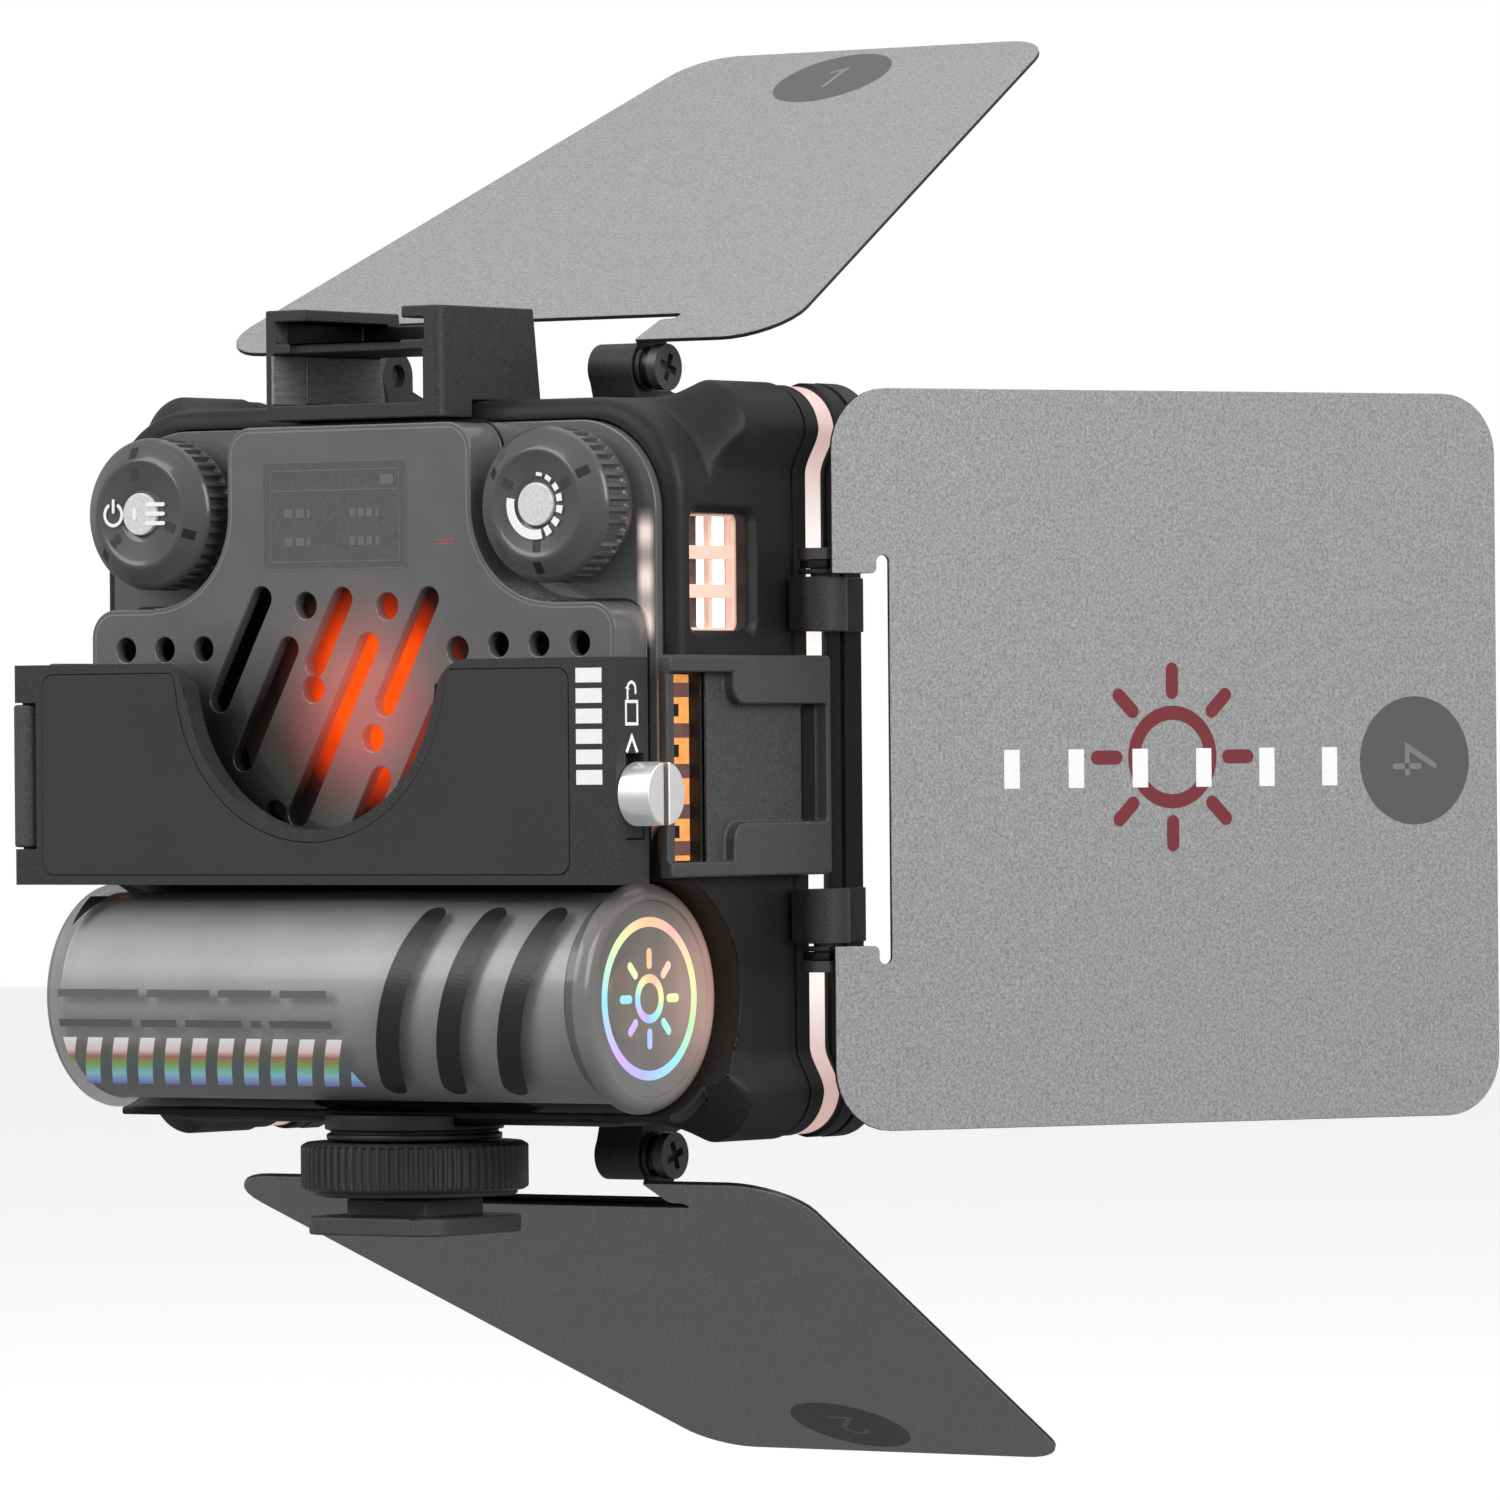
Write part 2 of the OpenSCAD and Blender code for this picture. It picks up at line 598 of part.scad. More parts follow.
module thread_insert() at_light() color("#b08d3e") difference() {
  rod_z(0, -light_y, 4.05, -39.3, -36.6);
  rod_z(0, -light_y, stud_d / 2 + 0.05, -40, -36);
}

module adapter_wheel() at_light() color("#1f2022") difference() {
  translate([0, -light_y, 0]) union() {
    translate([0, 0, wheel_z[0]]) linear_extrude(wheel_z[1] - wheel_z[0])
      ridged(wheel_d / 2, 0.4, wheel_knurls);
    translate([0, 0, wheel_z[0] - 0.5]) cylinder(r = wheel_d / 2 - 0.9, h = 1);
  }
  rod_z(0, -light_y, stud_d / 2 + 0.06, -50, -30);
}

module shoe_foot() at_light() color("#1f2022") translate([0, -light_y, 0]) union() {
  translate([0, 0, foot_z]) linear_extrude(foot_t) rounded_rect(foot_w, foot_w, 3.5);
  translate([0, 0, foot_z + foot_t - 0.1]) linear_extrude(neck_top - foot_z - foot_t + 0.1)
    square(neck_w, center = true);
  translate([0, 0, foot_z + foot_t]) cylinder(r = stud_d / 2, h = 11);
}

// ---- barn door ----

module hinge_pair() {
  children();
  mirror([0, 0, 1]) children();
}

module all_sides() for (a = [0, 90, 180, 270]) rotate([0, a, 0]) hinge_pair() children();

// Plan view of the arm that runs back from the ring to a knuckle, beside the bezel and the edge.
arm_outline = [[38.6, -1.7], [40.4, 0.4 - knuckle_r], [hinge_half, -knuckle_r], [hinge_half, knuckle_r],
  [40.1, knuckle_r], [39.2, 5.2], [39, 9], [38.4, 12.5],
  [37, 12.5], [37, 9.3], [38.3, 9.3], [38.3, 6.5], [38.6, 5]];

module knuckle_arm() {
  translate([0, 0, knuckle_w[0]]) linear_extrude(knuckle_w[1] - knuckle_w[0]) polygon(arm_outline);
  rod_z(hinge_half, 0, knuckle_r, knuckle_w[0], knuckle_w[1]);
}

module door_frame() at_light() color("#27282a") difference() {
  union() {
    along_y(ring_y, ring_y + ring_d) light_outline(0.1);
    all_sides() knuckle_arm();
  }
  block([-34, ring_y - 1, -34], [34, ring_y + ring_d + 1, 34]);
  all_sides() rod_z(hinge_half, 0, screw_r + 0.04, knuckle_w[0] - 1, knuckle_w[1] + 1);
}

module hinge_washers() at_light() color("#161617") all_sides() difference() {
  rod_z(hinge_half, 0, 2.3, washer_w[0], washer_w[1]);
  rod_z(hinge_half, 0, screw_r + 0.05, 10, 30);
}

module hinge_screws() at_light() color("#2a2a2c") all_sides() difference() {
  union() {
    rod_z(hinge_half, 0, screw_r, knuckle_w[0] + 1, screw_w[0] + 0.1);
    rod_z(hinge_half, 0, 2.5, screw_w[0], screw_w[1]);
  }
  // cross recess of the head
  for (a = [20, 110]) translate([hinge_half, 0, screw_w[1]]) rotate(a) cube([3, 0.8, 1.4], center = true);
}

notch_depth = 6.8;
relief_w = 1.5;
relief_deep = 1.9;

// Half of the notch's corners, in leaf coordinates [along the leaf, across it, radius].
function notch_side(s) =
  let (e = s * notch_w / 2, d = notch_depth - leaf_back, far = e + s * relief_deep)
  [[-leaf_back, e, 0], [d - relief_w, e, 0.6], [d - relief_w, far, 0.7], [d, far, 0.7]];

function leaf_outline(near_w, far_w) =
  let (far = leaf_len - leaf_back, lower = notch_side(-1), upper = notch_side(1))
  rounded(concat(
    [[-leaf_back, -near_w / 2, 6.6], [far, -far_w / 2, 6.5], [far, far_w / 2, 6.5],
     [-leaf_back, near_w / 2, 6.6]],
    upper, [for (i = [3 : -1 : 0]) lower[i]]));

// An ear bent inward from the sheet and drilled for the hinge screw.
module ear() translate([0, 0, notch_w / 2]) difference() {
  union() {
    cylinder(r = 2.5, h = leaf_t);
    block([0, -leaf_back, 0], [leaf_off, notch_depth - leaf_back - relief_w - 0.7, leaf_t]);
  }
  translate([0, 0, -1]) cylinder(r = screw_r + 0.08, h = 3);
}

// A leaf in the right-hand place, leaning outward from straight ahead.
module leaf(near_w, far_w, lean) translate([hinge_half, 0, 0]) rotate([0, 0, -lean]) {
  along_x(leaf_off - leaf_t, leaf_off) polygon(leaf_outline(near_w, far_w));
  hinge_pair() ear();
}

module right_leaf() at_light() color("#8b8b8c") union() leaf(side_leaf_w, side_leaf_w, side_lean);
module left_leaf() at_light() color("#8b8b8c") rotate([0, 180, 0]) leaf(side_leaf_w, side_leaf_w, side_lean);
module top_leaf() at_light() color("#8b8b8c") rotate([0, 270, 0]) leaf(end_leaf_w, end_leaf_tip_w, top_lean);
module bottom_leaf() at_light() color("#6b6b6c") rotate([0, 90, 0])
  leaf(end_leaf_w, end_leaf_tip_w, bottom_lean);

rear_housing();
rear_cover();
front_bezel();
diffuser();
light_box();
led_board();
warm_leds();
cool_leds();
heat_sink();
fan_frame();
fan_rotor();
control_board();
display();
encoders();
side_light_grille();
usb_port();
left_plunger();
right_plunger();
left_knob();
right_knob();
left_knob_disc();
right_knob_disc();
battery_tube();
battery_sleeve();
battery_cell();
tube_cap();
tube_contact();
clamp_plate();
clamp_pad();
clamp_pin();
left_clip();
right_clip();
lock_slider();
lock_screw();
top_shoe();
shoe_screw();
base_boss();
thread_insert();
adapter_wheel();
shoe_foot();
door_frame();
right_leaf();
left_leaf();
top_leaf();
bottom_leaf();
hinge_screws();
hinge_washers();
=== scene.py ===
"""Looks of the pocket video light with its barn door attachment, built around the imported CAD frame."""

import json
import math

import bmesh
import bpy
from mathutils import Matrix, Vector


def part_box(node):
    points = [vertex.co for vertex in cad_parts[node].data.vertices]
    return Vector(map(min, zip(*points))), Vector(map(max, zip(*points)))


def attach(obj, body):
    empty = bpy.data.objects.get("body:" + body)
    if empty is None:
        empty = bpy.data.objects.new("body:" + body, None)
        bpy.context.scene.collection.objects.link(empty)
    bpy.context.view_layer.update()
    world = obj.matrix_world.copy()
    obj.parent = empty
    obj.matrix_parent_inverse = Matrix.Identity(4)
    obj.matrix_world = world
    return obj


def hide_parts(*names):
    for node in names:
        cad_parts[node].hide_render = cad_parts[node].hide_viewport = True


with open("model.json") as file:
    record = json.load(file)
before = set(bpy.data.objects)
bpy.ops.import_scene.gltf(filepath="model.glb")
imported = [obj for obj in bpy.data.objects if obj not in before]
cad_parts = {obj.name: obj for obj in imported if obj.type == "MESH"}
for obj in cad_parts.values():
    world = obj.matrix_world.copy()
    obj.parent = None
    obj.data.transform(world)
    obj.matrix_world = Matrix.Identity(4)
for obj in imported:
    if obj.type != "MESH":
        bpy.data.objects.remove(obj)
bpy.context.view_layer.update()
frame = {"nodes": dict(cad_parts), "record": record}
NODES = frame["nodes"]
BODY_OF = {node: body for body, nodes in frame["record"]["behaviour"]["bodies"].items() for node in nodes}
MM = 0.001


# ---- places, from the frame ----

def middle(node):
    """The middle of a node's box, in metres."""
    low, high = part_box(node)
    return (low + high) / 2


# The light's own origin: behind the middle of its front, on the plane of the four hinge axes.
CENTRE = Vector((middle("diffuser").x, middle("hinge_washers").y, middle("diffuser").z))


def spot(x, y, z):
    """A point given in millimetres from the light's own origin, in metres in the row frame."""
    return CENTRE + Vector((x, y, z)) * MM


def edges_of(node):
    """A node's lowest and highest corners, in millimetres from the light's own origin."""
    low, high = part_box(node)
    return (low - CENTRE) / MM, (high - CENTRE) / MM


HINGE = edges_of("door_frame")[1].x - 2.64    # from the light's middle to each hinge axis
LEAN = {"right": 26.5, "left": 26.5, "top": 25.5, "bottom": 24}    # degrees open, as the frame holds them
LEAF_FACE = 3.7    # from a hinge axis to its leaf's outer face


def on_leaf(side, height=0.0):
    """Maps (u, v) on a leaf's outer face to a point: v runs from its hinge to its far edge."""
    lean = math.radians(LEAN[side])
    turned = -1 if side in ("right", "bottom") else 1

    def place(u, v, lift=0.0):
        off = LEAF_FACE + height + lift
        out = HINGE + v * math.sin(lean) + off * math.cos(lean)
        ahead = v * math.cos(lean) - off * math.sin(lean)
        return {"right": spot(out, ahead, turned * u), "left": spot(-out, ahead, turned * u),
                "top": spot(turned * u, ahead, out), "bottom": spot(turned * u, ahead, -out)}[side]
    return place


def on_wall(axis, level, sign=-1):
    """Maps (u, v) on a flat wall to a point: v is up, and u runs to the right as seen from outside."""
    def place(u, v, lift=0.0):
        if axis == "y":
            return spot(-u * sign, level + sign * lift, v)
        return spot(level + sign * lift, u * sign, v)
    return place


TUBE_LOW, TUBE_HIGH = edges_of("battery_tube")
TUBE_R = (TUBE_HIGH.z - TUBE_LOW.z) / 2
TUBE_Y = (TUBE_HIGH.y + TUBE_LOW.y) / 2
TUBE_Z = (TUBE_HIGH.z + TUBE_LOW.z) / 2


def on_tube(radius):
    """Maps (u, v) to the battery tube's side: u is along it, v is up round it from its rearmost line."""
    def place(u, v, lift=0.0):
        angle = v / radius
        reach = radius + lift
        return spot(u, TUBE_Y - reach * math.cos(angle), TUBE_Z + reach * math.sin(angle))
    return place


# ---- mesh helpers ----

def new_object(name, bm, smooth=None):
    """Wraps a bmesh in an object at the origin; smooth is the angle above which edges stay sharp."""
    mesh = bpy.data.meshes.new(name)
    bmesh.ops.recalc_face_normals(bm, faces=bm.faces)
    bm.to_mesh(mesh)
    bm.free()
    made = bpy.data.objects.new(name, mesh)
    bpy.context.scene.collection.objects.link(made)
    if smooth is not None:
        mesh.shade_smooth()
        mesh.set_sharp_from_angle(angle=math.radians(smooth))
    return made


def bake_modifiers(piece):
    """Applies a piece's modifiers."""
    depsgraph = bpy.context.evaluated_depsgraph_get()
    mesh = bpy.data.meshes.new_from_object(piece.evaluated_get(depsgraph))
    piece.modifiers.clear()
    piece.data = mesh


def round_edges(piece, width, segments=3, angle=32, clamp=True):
    """Rounds a piece's sharp edges by a width in millimetres and evens its shading."""
    piece.data.shade_smooth()
    bevel = piece.modifiers.new("round", "BEVEL")
    bevel.width = width * MM
    bevel.segments = segments
    bevel.limit_method = "ANGLE"
    bevel.angle_limit = math.radians(angle)
    bevel.use_clamp_overlap = clamp
    bevel.miter_outer = "MITER_ARC"
    even = piece.modifiers.new("even", "WEIGHTED_NORMAL")
    even.weight = 60
    even.mode = "FACE_AREA_WITH_ANGLE"
    bake_modifiers(piece)
    return piece


def soften(node, width, clamp=True):
    """A copy of a CAD node with its sharp edges rounded."""
    bm = bmesh.new()
    bm.from_mesh(NODES[node].data)
    bmesh.ops.remove_doubles(bm, verts=bm.verts, dist=2e-6)
    bmesh.ops.dissolve_limit(bm, angle_limit=math.radians(0.4), verts=bm.verts, edges=bm.edges)
    return round_edges(new_object(node + "_shell", bm), width, clamp=clamp)


def finish_piece(piece, body, slot, material, *replaced):
    """Gives a piece its material, hides what it stands for, and lets it ride."""
    piece.data.materials.clear()
    piece.data.materials.append(material)
    if replaced:
        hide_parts(*replaced)
    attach(piece, body)
    return piece


def finish_mesh(name, bm, body, slot, material, *replaced, smooth=None):
    """Makes a piece from a bmesh and finishes it."""
    return finish_piece(new_object(name, bm, smooth), body, slot, material, *replaced)


def paint(piece, material, test):
    """Gives a second material to the faces whose middle, in millimetres, passes the test."""
    piece.data.materials.append(material)
    for face in piece.data.polygons:
        if test((face.center - CENTRE) / MM):
            face.material_index = len(piece.data.materials) - 1


def arc(u, v, radius, start, end, steps=24):
    """Points on a circular arc, its angles in degrees from +u."""
    turn = [math.radians(start + (end - start) * i / steps) for i in range(steps + 1)]
    return [(u + radius * math.cos(t), v + radius * math.sin(t)) for t in turn]


def circle(u, v, radius, steps):
    """Points round a circle."""
    return arc(u, v, radius, 0, 360, steps)[:-1]


def ray(degrees):
    """A unit vector at an angle from +u."""
    return Vector((math.cos(math.radians(degrees)), math.sin(math.radians(degrees))))


def rounded_loop(u0, v0, u1, v1, radius, steps=6):
    """The outline of a rounded rectangle."""
    centres = ((u1 - radius, v0 + radius), (u1 - radius, v1 - radius),
               (u0 + radius, v1 - radius), (u0 + radius, v0 + radius))
    return [point for i, (u, v) in enumerate(centres)
            for point in arc(u, v, radius, 90 * i - 90, 90 * i, steps)]


def rectangle(u0, v0, u1, v1):
    """The corners of a rectangle."""
    return [(u0, v0), (u1, v0), (u1, v1), (u0, v1)]


def strip(bm, line, width, place, closed=False, rounded=True, lift=0.02):
    """A flat ribbon along a line of (u, v) points, with mitred corners and rounded ends."""
    points = [Vector(p) for p in line]
    halves = [width / 2] * len(points)
    if rounded and not closed:
        first = (points[0] - points[1]).normalized()
        last = (points[-1] - points[-2]).normalized()
        turns = [math.radians(a) for a in (80, 50, 25)]
        reach = width / 2
        head = [points[0] + first * (reach * math.sin(t)) for t in turns]
        tail = [points[-1] + last * (reach * math.sin(t)) for t in reversed(turns)]
        points = head + points + tail
        caps = [reach * math.cos(t) for t in turns]
        halves = caps + halves + caps[::-1]
    count = len(points)
    pairs = []
    for i, point in enumerate(points):
        sides = []
        if closed or i:
            sides.append((point - points[i - 1]).normalized())
        if closed or i < count - 1:
            sides.append((points[(i + 1) % count] - point).normalized())
        along = sum(sides, Vector((0, 0))).normalized()
        across = Vector((-along.y, along.x))
        cut = max(0.35, across.dot(Vector((-sides[0].y, sides[0].x))))
        edge = across * (halves[i] / cut)
        pairs.append([bm.verts.new(place(*(point + edge * s), lift)) for s in (1, -1)])
    for i in range(count if closed else count - 1):
        here, there = pairs[i], pairs[(i + 1) % count]
        bm.faces.new((here[0], here[1], there[1], there[0]))


def patch(bm, loop, place, step=None, lift=0.02):
    """A filled outline of (u, v) points, cut every step millimetres so that it can follow a curve."""
    flat = bmesh.new()
    flat.faces.new([flat.verts.new((u, v, 0)) for u, v in loop])
    bmesh.ops.triangulate(flat, faces=flat.faces)
    if step:
        low = min(v for u, v in loop)
        high = max(v for u, v in loop)
        level = low + step
        while level < high:
            everything = flat.verts[:] + flat.edges[:] + flat.faces[:]
            bmesh.ops.bisect_plane(flat, geom=everything, plane_co=(0, level, 0), plane_no=(0, 1, 0))
            level += step
    copies = {vert: bm.verts.new(place(vert.co.x, vert.co.y, lift)) for vert in flat.verts}
    for face in flat.faces:
        bm.faces.new([copies[vert] for vert in face.verts])
    flat.free()


def skin(bm, rings):
    """Faces between each ring of corners and the next."""
    count = len(rings[0])
    for here, there in zip(rings, rings[1:]):
        for i in range(count):
            j = (i + 1) % count
            bm.faces.new((here[i], here[j], there[j], there[i]))


def lathe(bm, profile, centre, along, start, steps=96, wobble=None):
    """Turns a profile of (reach, distance) about an axis; wobble changes the reach."""
    other = along.cross(start)
    rings = []
    for reach, distance in profile:
        ring = []
        for i in range(steps):
            turn = 2 * math.pi * i / steps
            far = reach + (wobble(reach, distance, turn) if wobble else 0)
            ring.append(bm.verts.new(centre + (along * distance + start * (far * math.cos(turn))
                                               + other * (far * math.sin(turn))) * MM))
        rings.append(ring)
    skin(bm, rings)
    return rings


# ---- the light's outline ----

BODY_HALF = 38.0
BUMPER_HALF = edges_of("rear_housing")[1].x
BUMPER_FOOT = 30.0    # where a bumper starts to swell out of the side
BUMPER_RUN = 4.9    # how far it runs before it is full
CORNER = 5.4    # corner radius over the bumpers
RIM_CORNER = 11.0    # corner radius of the rear rim


def smooth_step(value):
    """Runs smoothly from 0 to 1 as the value does."""
    value = max(0.0, min(1.0, value))
    return value * value * (3 - 2 * value)


def side_reach(level, wide, straight):
    """How far out the side is, level millimetres from its middle."""
    return straight + (wide - straight) * smooth_step((level - BUMPER_FOOT) / BUMPER_RUN)


def outline_turns():
    """Directions round the outline, close together where it curves."""
    steps = [0, 9, 18, 24, 27] + [28.5 + 0.5 * i for i in range(13)]
    eighth = [math.atan2(w, side_reach(w, BUMPER_HALF, BODY_HALF)) for w in steps]
    last = eighth[-1]
    eighth += [last + (math.pi / 4 - last) * i / 10 for i in range(1, 11)]
    quarter = eighth + [math.pi / 2 - a for a in reversed(eighth[1:-1])]
    return [a + math.pi / 2 * i for i in range(4) for a in quarter]


TURNS = outline_turns()


def outline(bumper, radius, grow=0.0):
    """Points (x, z) of the light's outline, with bumpers of a given half width and corner radius."""
    wide = bumper + grow
    straight = BODY_HALF + grow
    around = radius + grow
    flat = wide - around
    points = []
    for turn in TURNS:
        c, s = math.cos(turn), math.sin(turn)
        big, small = max(abs(c), abs(s)), min(abs(c), abs(s))
        reach = straight / big
        for _ in range(12):
            reach = side_reach(reach * small, wide, straight) / big
        corner = wide / big
        if corner * small > flat:
            part = flat * (big + small)
            corner = part + math.sqrt(max(0.0, part * part - 2 * flat * flat + around * around))
        reach = min(reach, corner)
        points.append((reach * c, reach * s))
    return points


def prism(bm, loops):
    """A solid through loops of row-frame points, all with the same number of points."""
    rings = [[bm.verts.new(point) for point in loop] for loop in loops]
    skin(bm, rings)
    bm.faces.new(rings[0])
    bm.faces.new(rings[-1])


def loft(bm, levels):
    """A solid through outlines at several depths: (y, bumper, radius, grow)."""
    prism(bm, [[spot(x, y, z) for x, z in outline(bumper, radius, grow)]
               for y, bumper, radius, grow in levels])


def cut_with(piece, builder, operation="DIFFERENCE"):
    """Cuts a piece with, or joins it to, the solid that builder makes in a bmesh."""
    bm = bmesh.new()
    builder(bm)
    tool = new_object("cutter", bm)
    cut = piece.modifiers.new("cut", "BOOLEAN")
    cut.operation = operation
    cut.solver = "EXACT"
    cut.object = tool
    bake_modifiers(piece)
    bpy.data.objects.remove(tool)


def through_y(loop, y0, y1):
    """The solid that sweeps an (x, z) loop from y0 to y1."""
    return lambda bm: prism(bm, [[spot(x, y, z) for x, z in loop] for y in (y0, y1)])


def through_x(*slices):
    """The solid through slices (x, loop), each loop of (y, z) points."""
    return lambda bm: prism(bm, [[spot(x, y, z) for y, z in loop] for x, loop in slices])


# ---- materials ----

def new_material(name):
    """A new material, its Principled shader and its Object coordinates."""
    material = bpy.data.materials.new(name)
    material.use_nodes = True
    tree = material.node_tree
    coordinates = tree.nodes.new("ShaderNodeTexCoord")
    return material, tree.nodes["Principled BSDF"], coordinates.outputs["Object"]


def wire(node, inputs):
    """Links or sets a node's inputs, named or counted."""
    for name, value in inputs.items():
        socket = node.inputs[name]
        if hasattr(value, "is_linked"):
            node.id_data.links.new(value, socket)
        elif socket.type == "RGBA":
            socket.default_value = (*value, 1)
        else:
            socket.default_value = value


def add_node(kind, inputs, output=0, **settings):
    """Adds a node beside what it reads, with its settings, and returns one of its outputs."""
    tree = next(value.id_data for value in inputs.values() if hasattr(value, "is_linked"))
    node = tree.nodes.new("ShaderNode" + kind)
    for name, value in settings.items():
        setattr(node, name, value)
    wire(node, inputs)
    return node.outputs[output]


def noise(vector, size, detail=3):
    """A noise texture whose features are about the given size in millimetres."""
    return add_node("TexNoise", {"Vector": vector, "Scale": 1 / (size * MM), "Detail": detail,
                                 "Roughness": 0.6}, "Fac")


def stretched(vector, scale):
    """Coordinates scaled along each axis, for brushed or drawn finishes."""
    return add_node("Mapping", {"Vector": vector, "Scale": scale}, "Vector")


def remap(value, low, high, start=0.3, end=0.7):
    """Maps start..end of a value to low..high."""
    return add_node("MapRange", {"Value": value, "From Min": start, "From Max": end, "To Min": low,
                                 "To Max": high}, "Result")


def blend_colours(factor, first, second):
    """Mixes two colours, or colour outputs, by a factor output."""
    return add_node("Mix", {"Factor": factor, "A": first, "B": second}, "Result", data_type="RGBA")


def arithmetic(operation, *values):
    """A Math node with links or numbers on its inputs."""
    return add_node("Math", dict(enumerate(values)), operation=operation)


def product(*values):
    """The product of several numbers or outputs."""
    result = values[0]
    for value in values[1:]:
        result = arithmetic("MULTIPLY", result, value)
    return result


def coordinate(vector, axis, start=0.0):
    """One coordinate of a vector, counted from start."""
    return arithmetic("SUBTRACT", add_node("SeparateXYZ", {"Vector": vector}, axis), start)


def distance_from(vector, point):
    """The distance of each shaded point from a point of the frame, in millimetres."""
    apart = add_node("VectorMath", {0: vector, 1: point}, "Value", operation="DISTANCE")
    return product(apart, 1 / MM)


def colour_ramp(value, stops):
    """A colour ramp with (place, colour) stops."""
    node = value.id_data.nodes.new("ShaderNodeValToRGB")
    ramp = node.color_ramp
    while len(ramp.elements) < len(stops):
        ramp.elements.new(1)
    for element, (place, colour) in zip(ramp.elements, stops):
        element.position = place
        element.color = (*colour, 1)
    wire(node, {"Fac": value})
    return node.outputs["Color"]


def surface(name, colour, rough, metal=0.0, grain=0.25, speckle=0.12, relief=0.02, smudge=0.05,
            coat=0.0, specular=0.5, painted_glow=0.0, brushed=None):
    """A grained solid finish: fine colour speckle, fine relief and broad changes in gloss, with an optional
    painted glow.
    """
    material, shader, place = new_material(name)
    fine = noise(stretched(place, brushed) if brushed else place, grain)
    broad = noise(place, 14, 2)
    dark = [c * (1 - speckle) for c in colour]
    light = [min(1, c * (1 + speckle)) for c in colour]
    gloss = arithmetic("ADD", remap(fine, rough - 0.04, rough + 0.04), remap(broad, -smudge, smudge))
    relief_normal = add_node("Bump", {"Strength": 0.6, "Distance": relief * MM, "Height": fine}, "Normal")
    wire(shader, {"Base Color": blend_colours(remap(fine, 0, 1), dark, light),
                  "Roughness": gloss, "Normal": relief_normal, "Metallic": metal, "Coat Weight": coat,
                  "Coat Roughness": 0.08, "Specular IOR Level": specular, "Emission Strength": painted_glow})
    return material


def smoke(name, colour, alpha, rough=0.12, haze=0.04, coat=0.6, glow=None, painted_shade=None):
    """Clear tinted plastic with a glossy skin.

    glow is (point, reach, colour, strength) of a painted glow from a light behind it, and painted_shade
    (point, reach) of painted shade over a dark hollow behind it.
    """
    material, shader, place = new_material(name)
    cloud = noise(place, 9, 2)
    tinted = blend_colours(remap(cloud, 0, 1), [c * 0.88 for c in colour], colour)
    # Painted shade: the tint darkens towards the hollow's point.
    if painted_shade:
        hollow, size = painted_shade
        dark = remap(distance_from(place, hollow), 1, 0, size * 0.45, size)
        tinted = blend_colours(dark, tinted, [c * 0.12 for c in colour])
    # Painted glow: emission round the point, for the light behind the cover.
    if glow:
        point, reach, light, strength = glow
        near = remap(distance_from(place, point), 1, 0, reach * 0.35, reach)
        wire(shader, {"Emission Color": light, "Emission Strength": product(near, near, strength)})
    wire(shader, {"Base Color": tinted, "Alpha": remap(cloud, alpha - haze, alpha + haze),
                  "Roughness": remap(noise(place, 0.3), rough, rough + 0.06),
                  "Coat Weight": coat, "Coat Roughness": 0.06})
    return material


def glowing(name, colour, strength, base=(0.9, 0.85, 0.83), streak=0.12, size=5):
    """An opal surface lit from inside, a little uneven; on the heat sink and the fins seen through the vents
    it is a painted glow.
    """
    material, shader, place = new_material(name)
    uneven = remap(noise(place, size, 2), 0, 1)
    wire(shader, {"Base Color": base, "Roughness": 0.4, "Emission Strength": strength,
                  "Emission Color": blend_colours(uneven, [c * (1 - streak) for c in colour], colour)})
    return material


def ink(name, colour, rough=0.5, glow=0.0):
    """Printed ink, very slightly uneven; also used for painted highlights, painted shade and painted glints.
    """
    material, shader, place = new_material(name)
    uneven = noise(place, 0.4)
    shade = blend_colours(remap(uneven, 0, 1), [c * 0.92 for c in colour], colour)
    wire(shader, {"Base Color": shade, "Roughness": remap(uneven, rough - 0.05, rough + 0.05)})
    if glow:
        wire(shader, {"Emission Color": shade, "Emission Strength": glow})
    return material


def lit_diffuser():
    """Opal plastic lit from inside: near white along the sides, dimmer and pinker round the bumpers."""
    material, shader, place = new_material("lit diffuser")
    across = arithmetic("ABSOLUTE", coordinate(place, "X", CENTRE.x))
    upright = arithmetic("ABSOLUTE", coordinate(place, "Z", CENTRE.z))
    on_bumper = remap(arithmetic("MINIMUM", across, upright), 0, 1, 0.024, 0.034)
    shade = blend_colours(on_bumper, (1.0, 0.90, 0.87), (0.70, 0.47, 0.43))
    fine = noise(stretched(place, (1, 6, 1)), 3, 2)
    shade = blend_colours(remap(fine, 0, 0.12), shade, (0.60, 0.40, 0.36))
    wire(shader, {"Base Color": (0.5, 0.42, 0.4), "Roughness": 0.4, "Emission Color": shade,
                  "Emission Strength": remap(on_bumper, 1.0, 0.78, 0, 1)})
    return material


# ---- the finishes ----

FAN = edges_of("fan_rotor")
FAN_CENTRE = spot(1.5, -24, (FAN[0].z + FAN[1].z) / 2 + 0.5)

HOUSING = surface("housing plastic", (0.015, 0.015, 0.016), 0.48, relief=0.03, speckle=0.4, specular=0.35)
BEZEL = surface("bezel plastic", (0.015, 0.015, 0.016), 0.50, specular=0.35)
STEEL_BLACK = surface("powder coated steel", (0.041, 0.041, 0.042), 0.50, relief=0.04, speckle=0.4,
                      specular=0.4)
CLIP_BLACK = surface("clip steel", (0.072, 0.072, 0.073), 0.50, relief=0.04, speckle=0.35)
WALL_BRUSHED = surface("brushed shoe wall", (0.30, 0.30, 0.302), 0.45, metal=0.3, grain=0.3, relief=0.03,
                       speckle=0.3, brushed=(1, 0.12, 1))
RUBBER = surface("pad rubber", (0.047, 0.047, 0.0475), 0.70, grain=0.35, relief=0.015, specular=0.4)
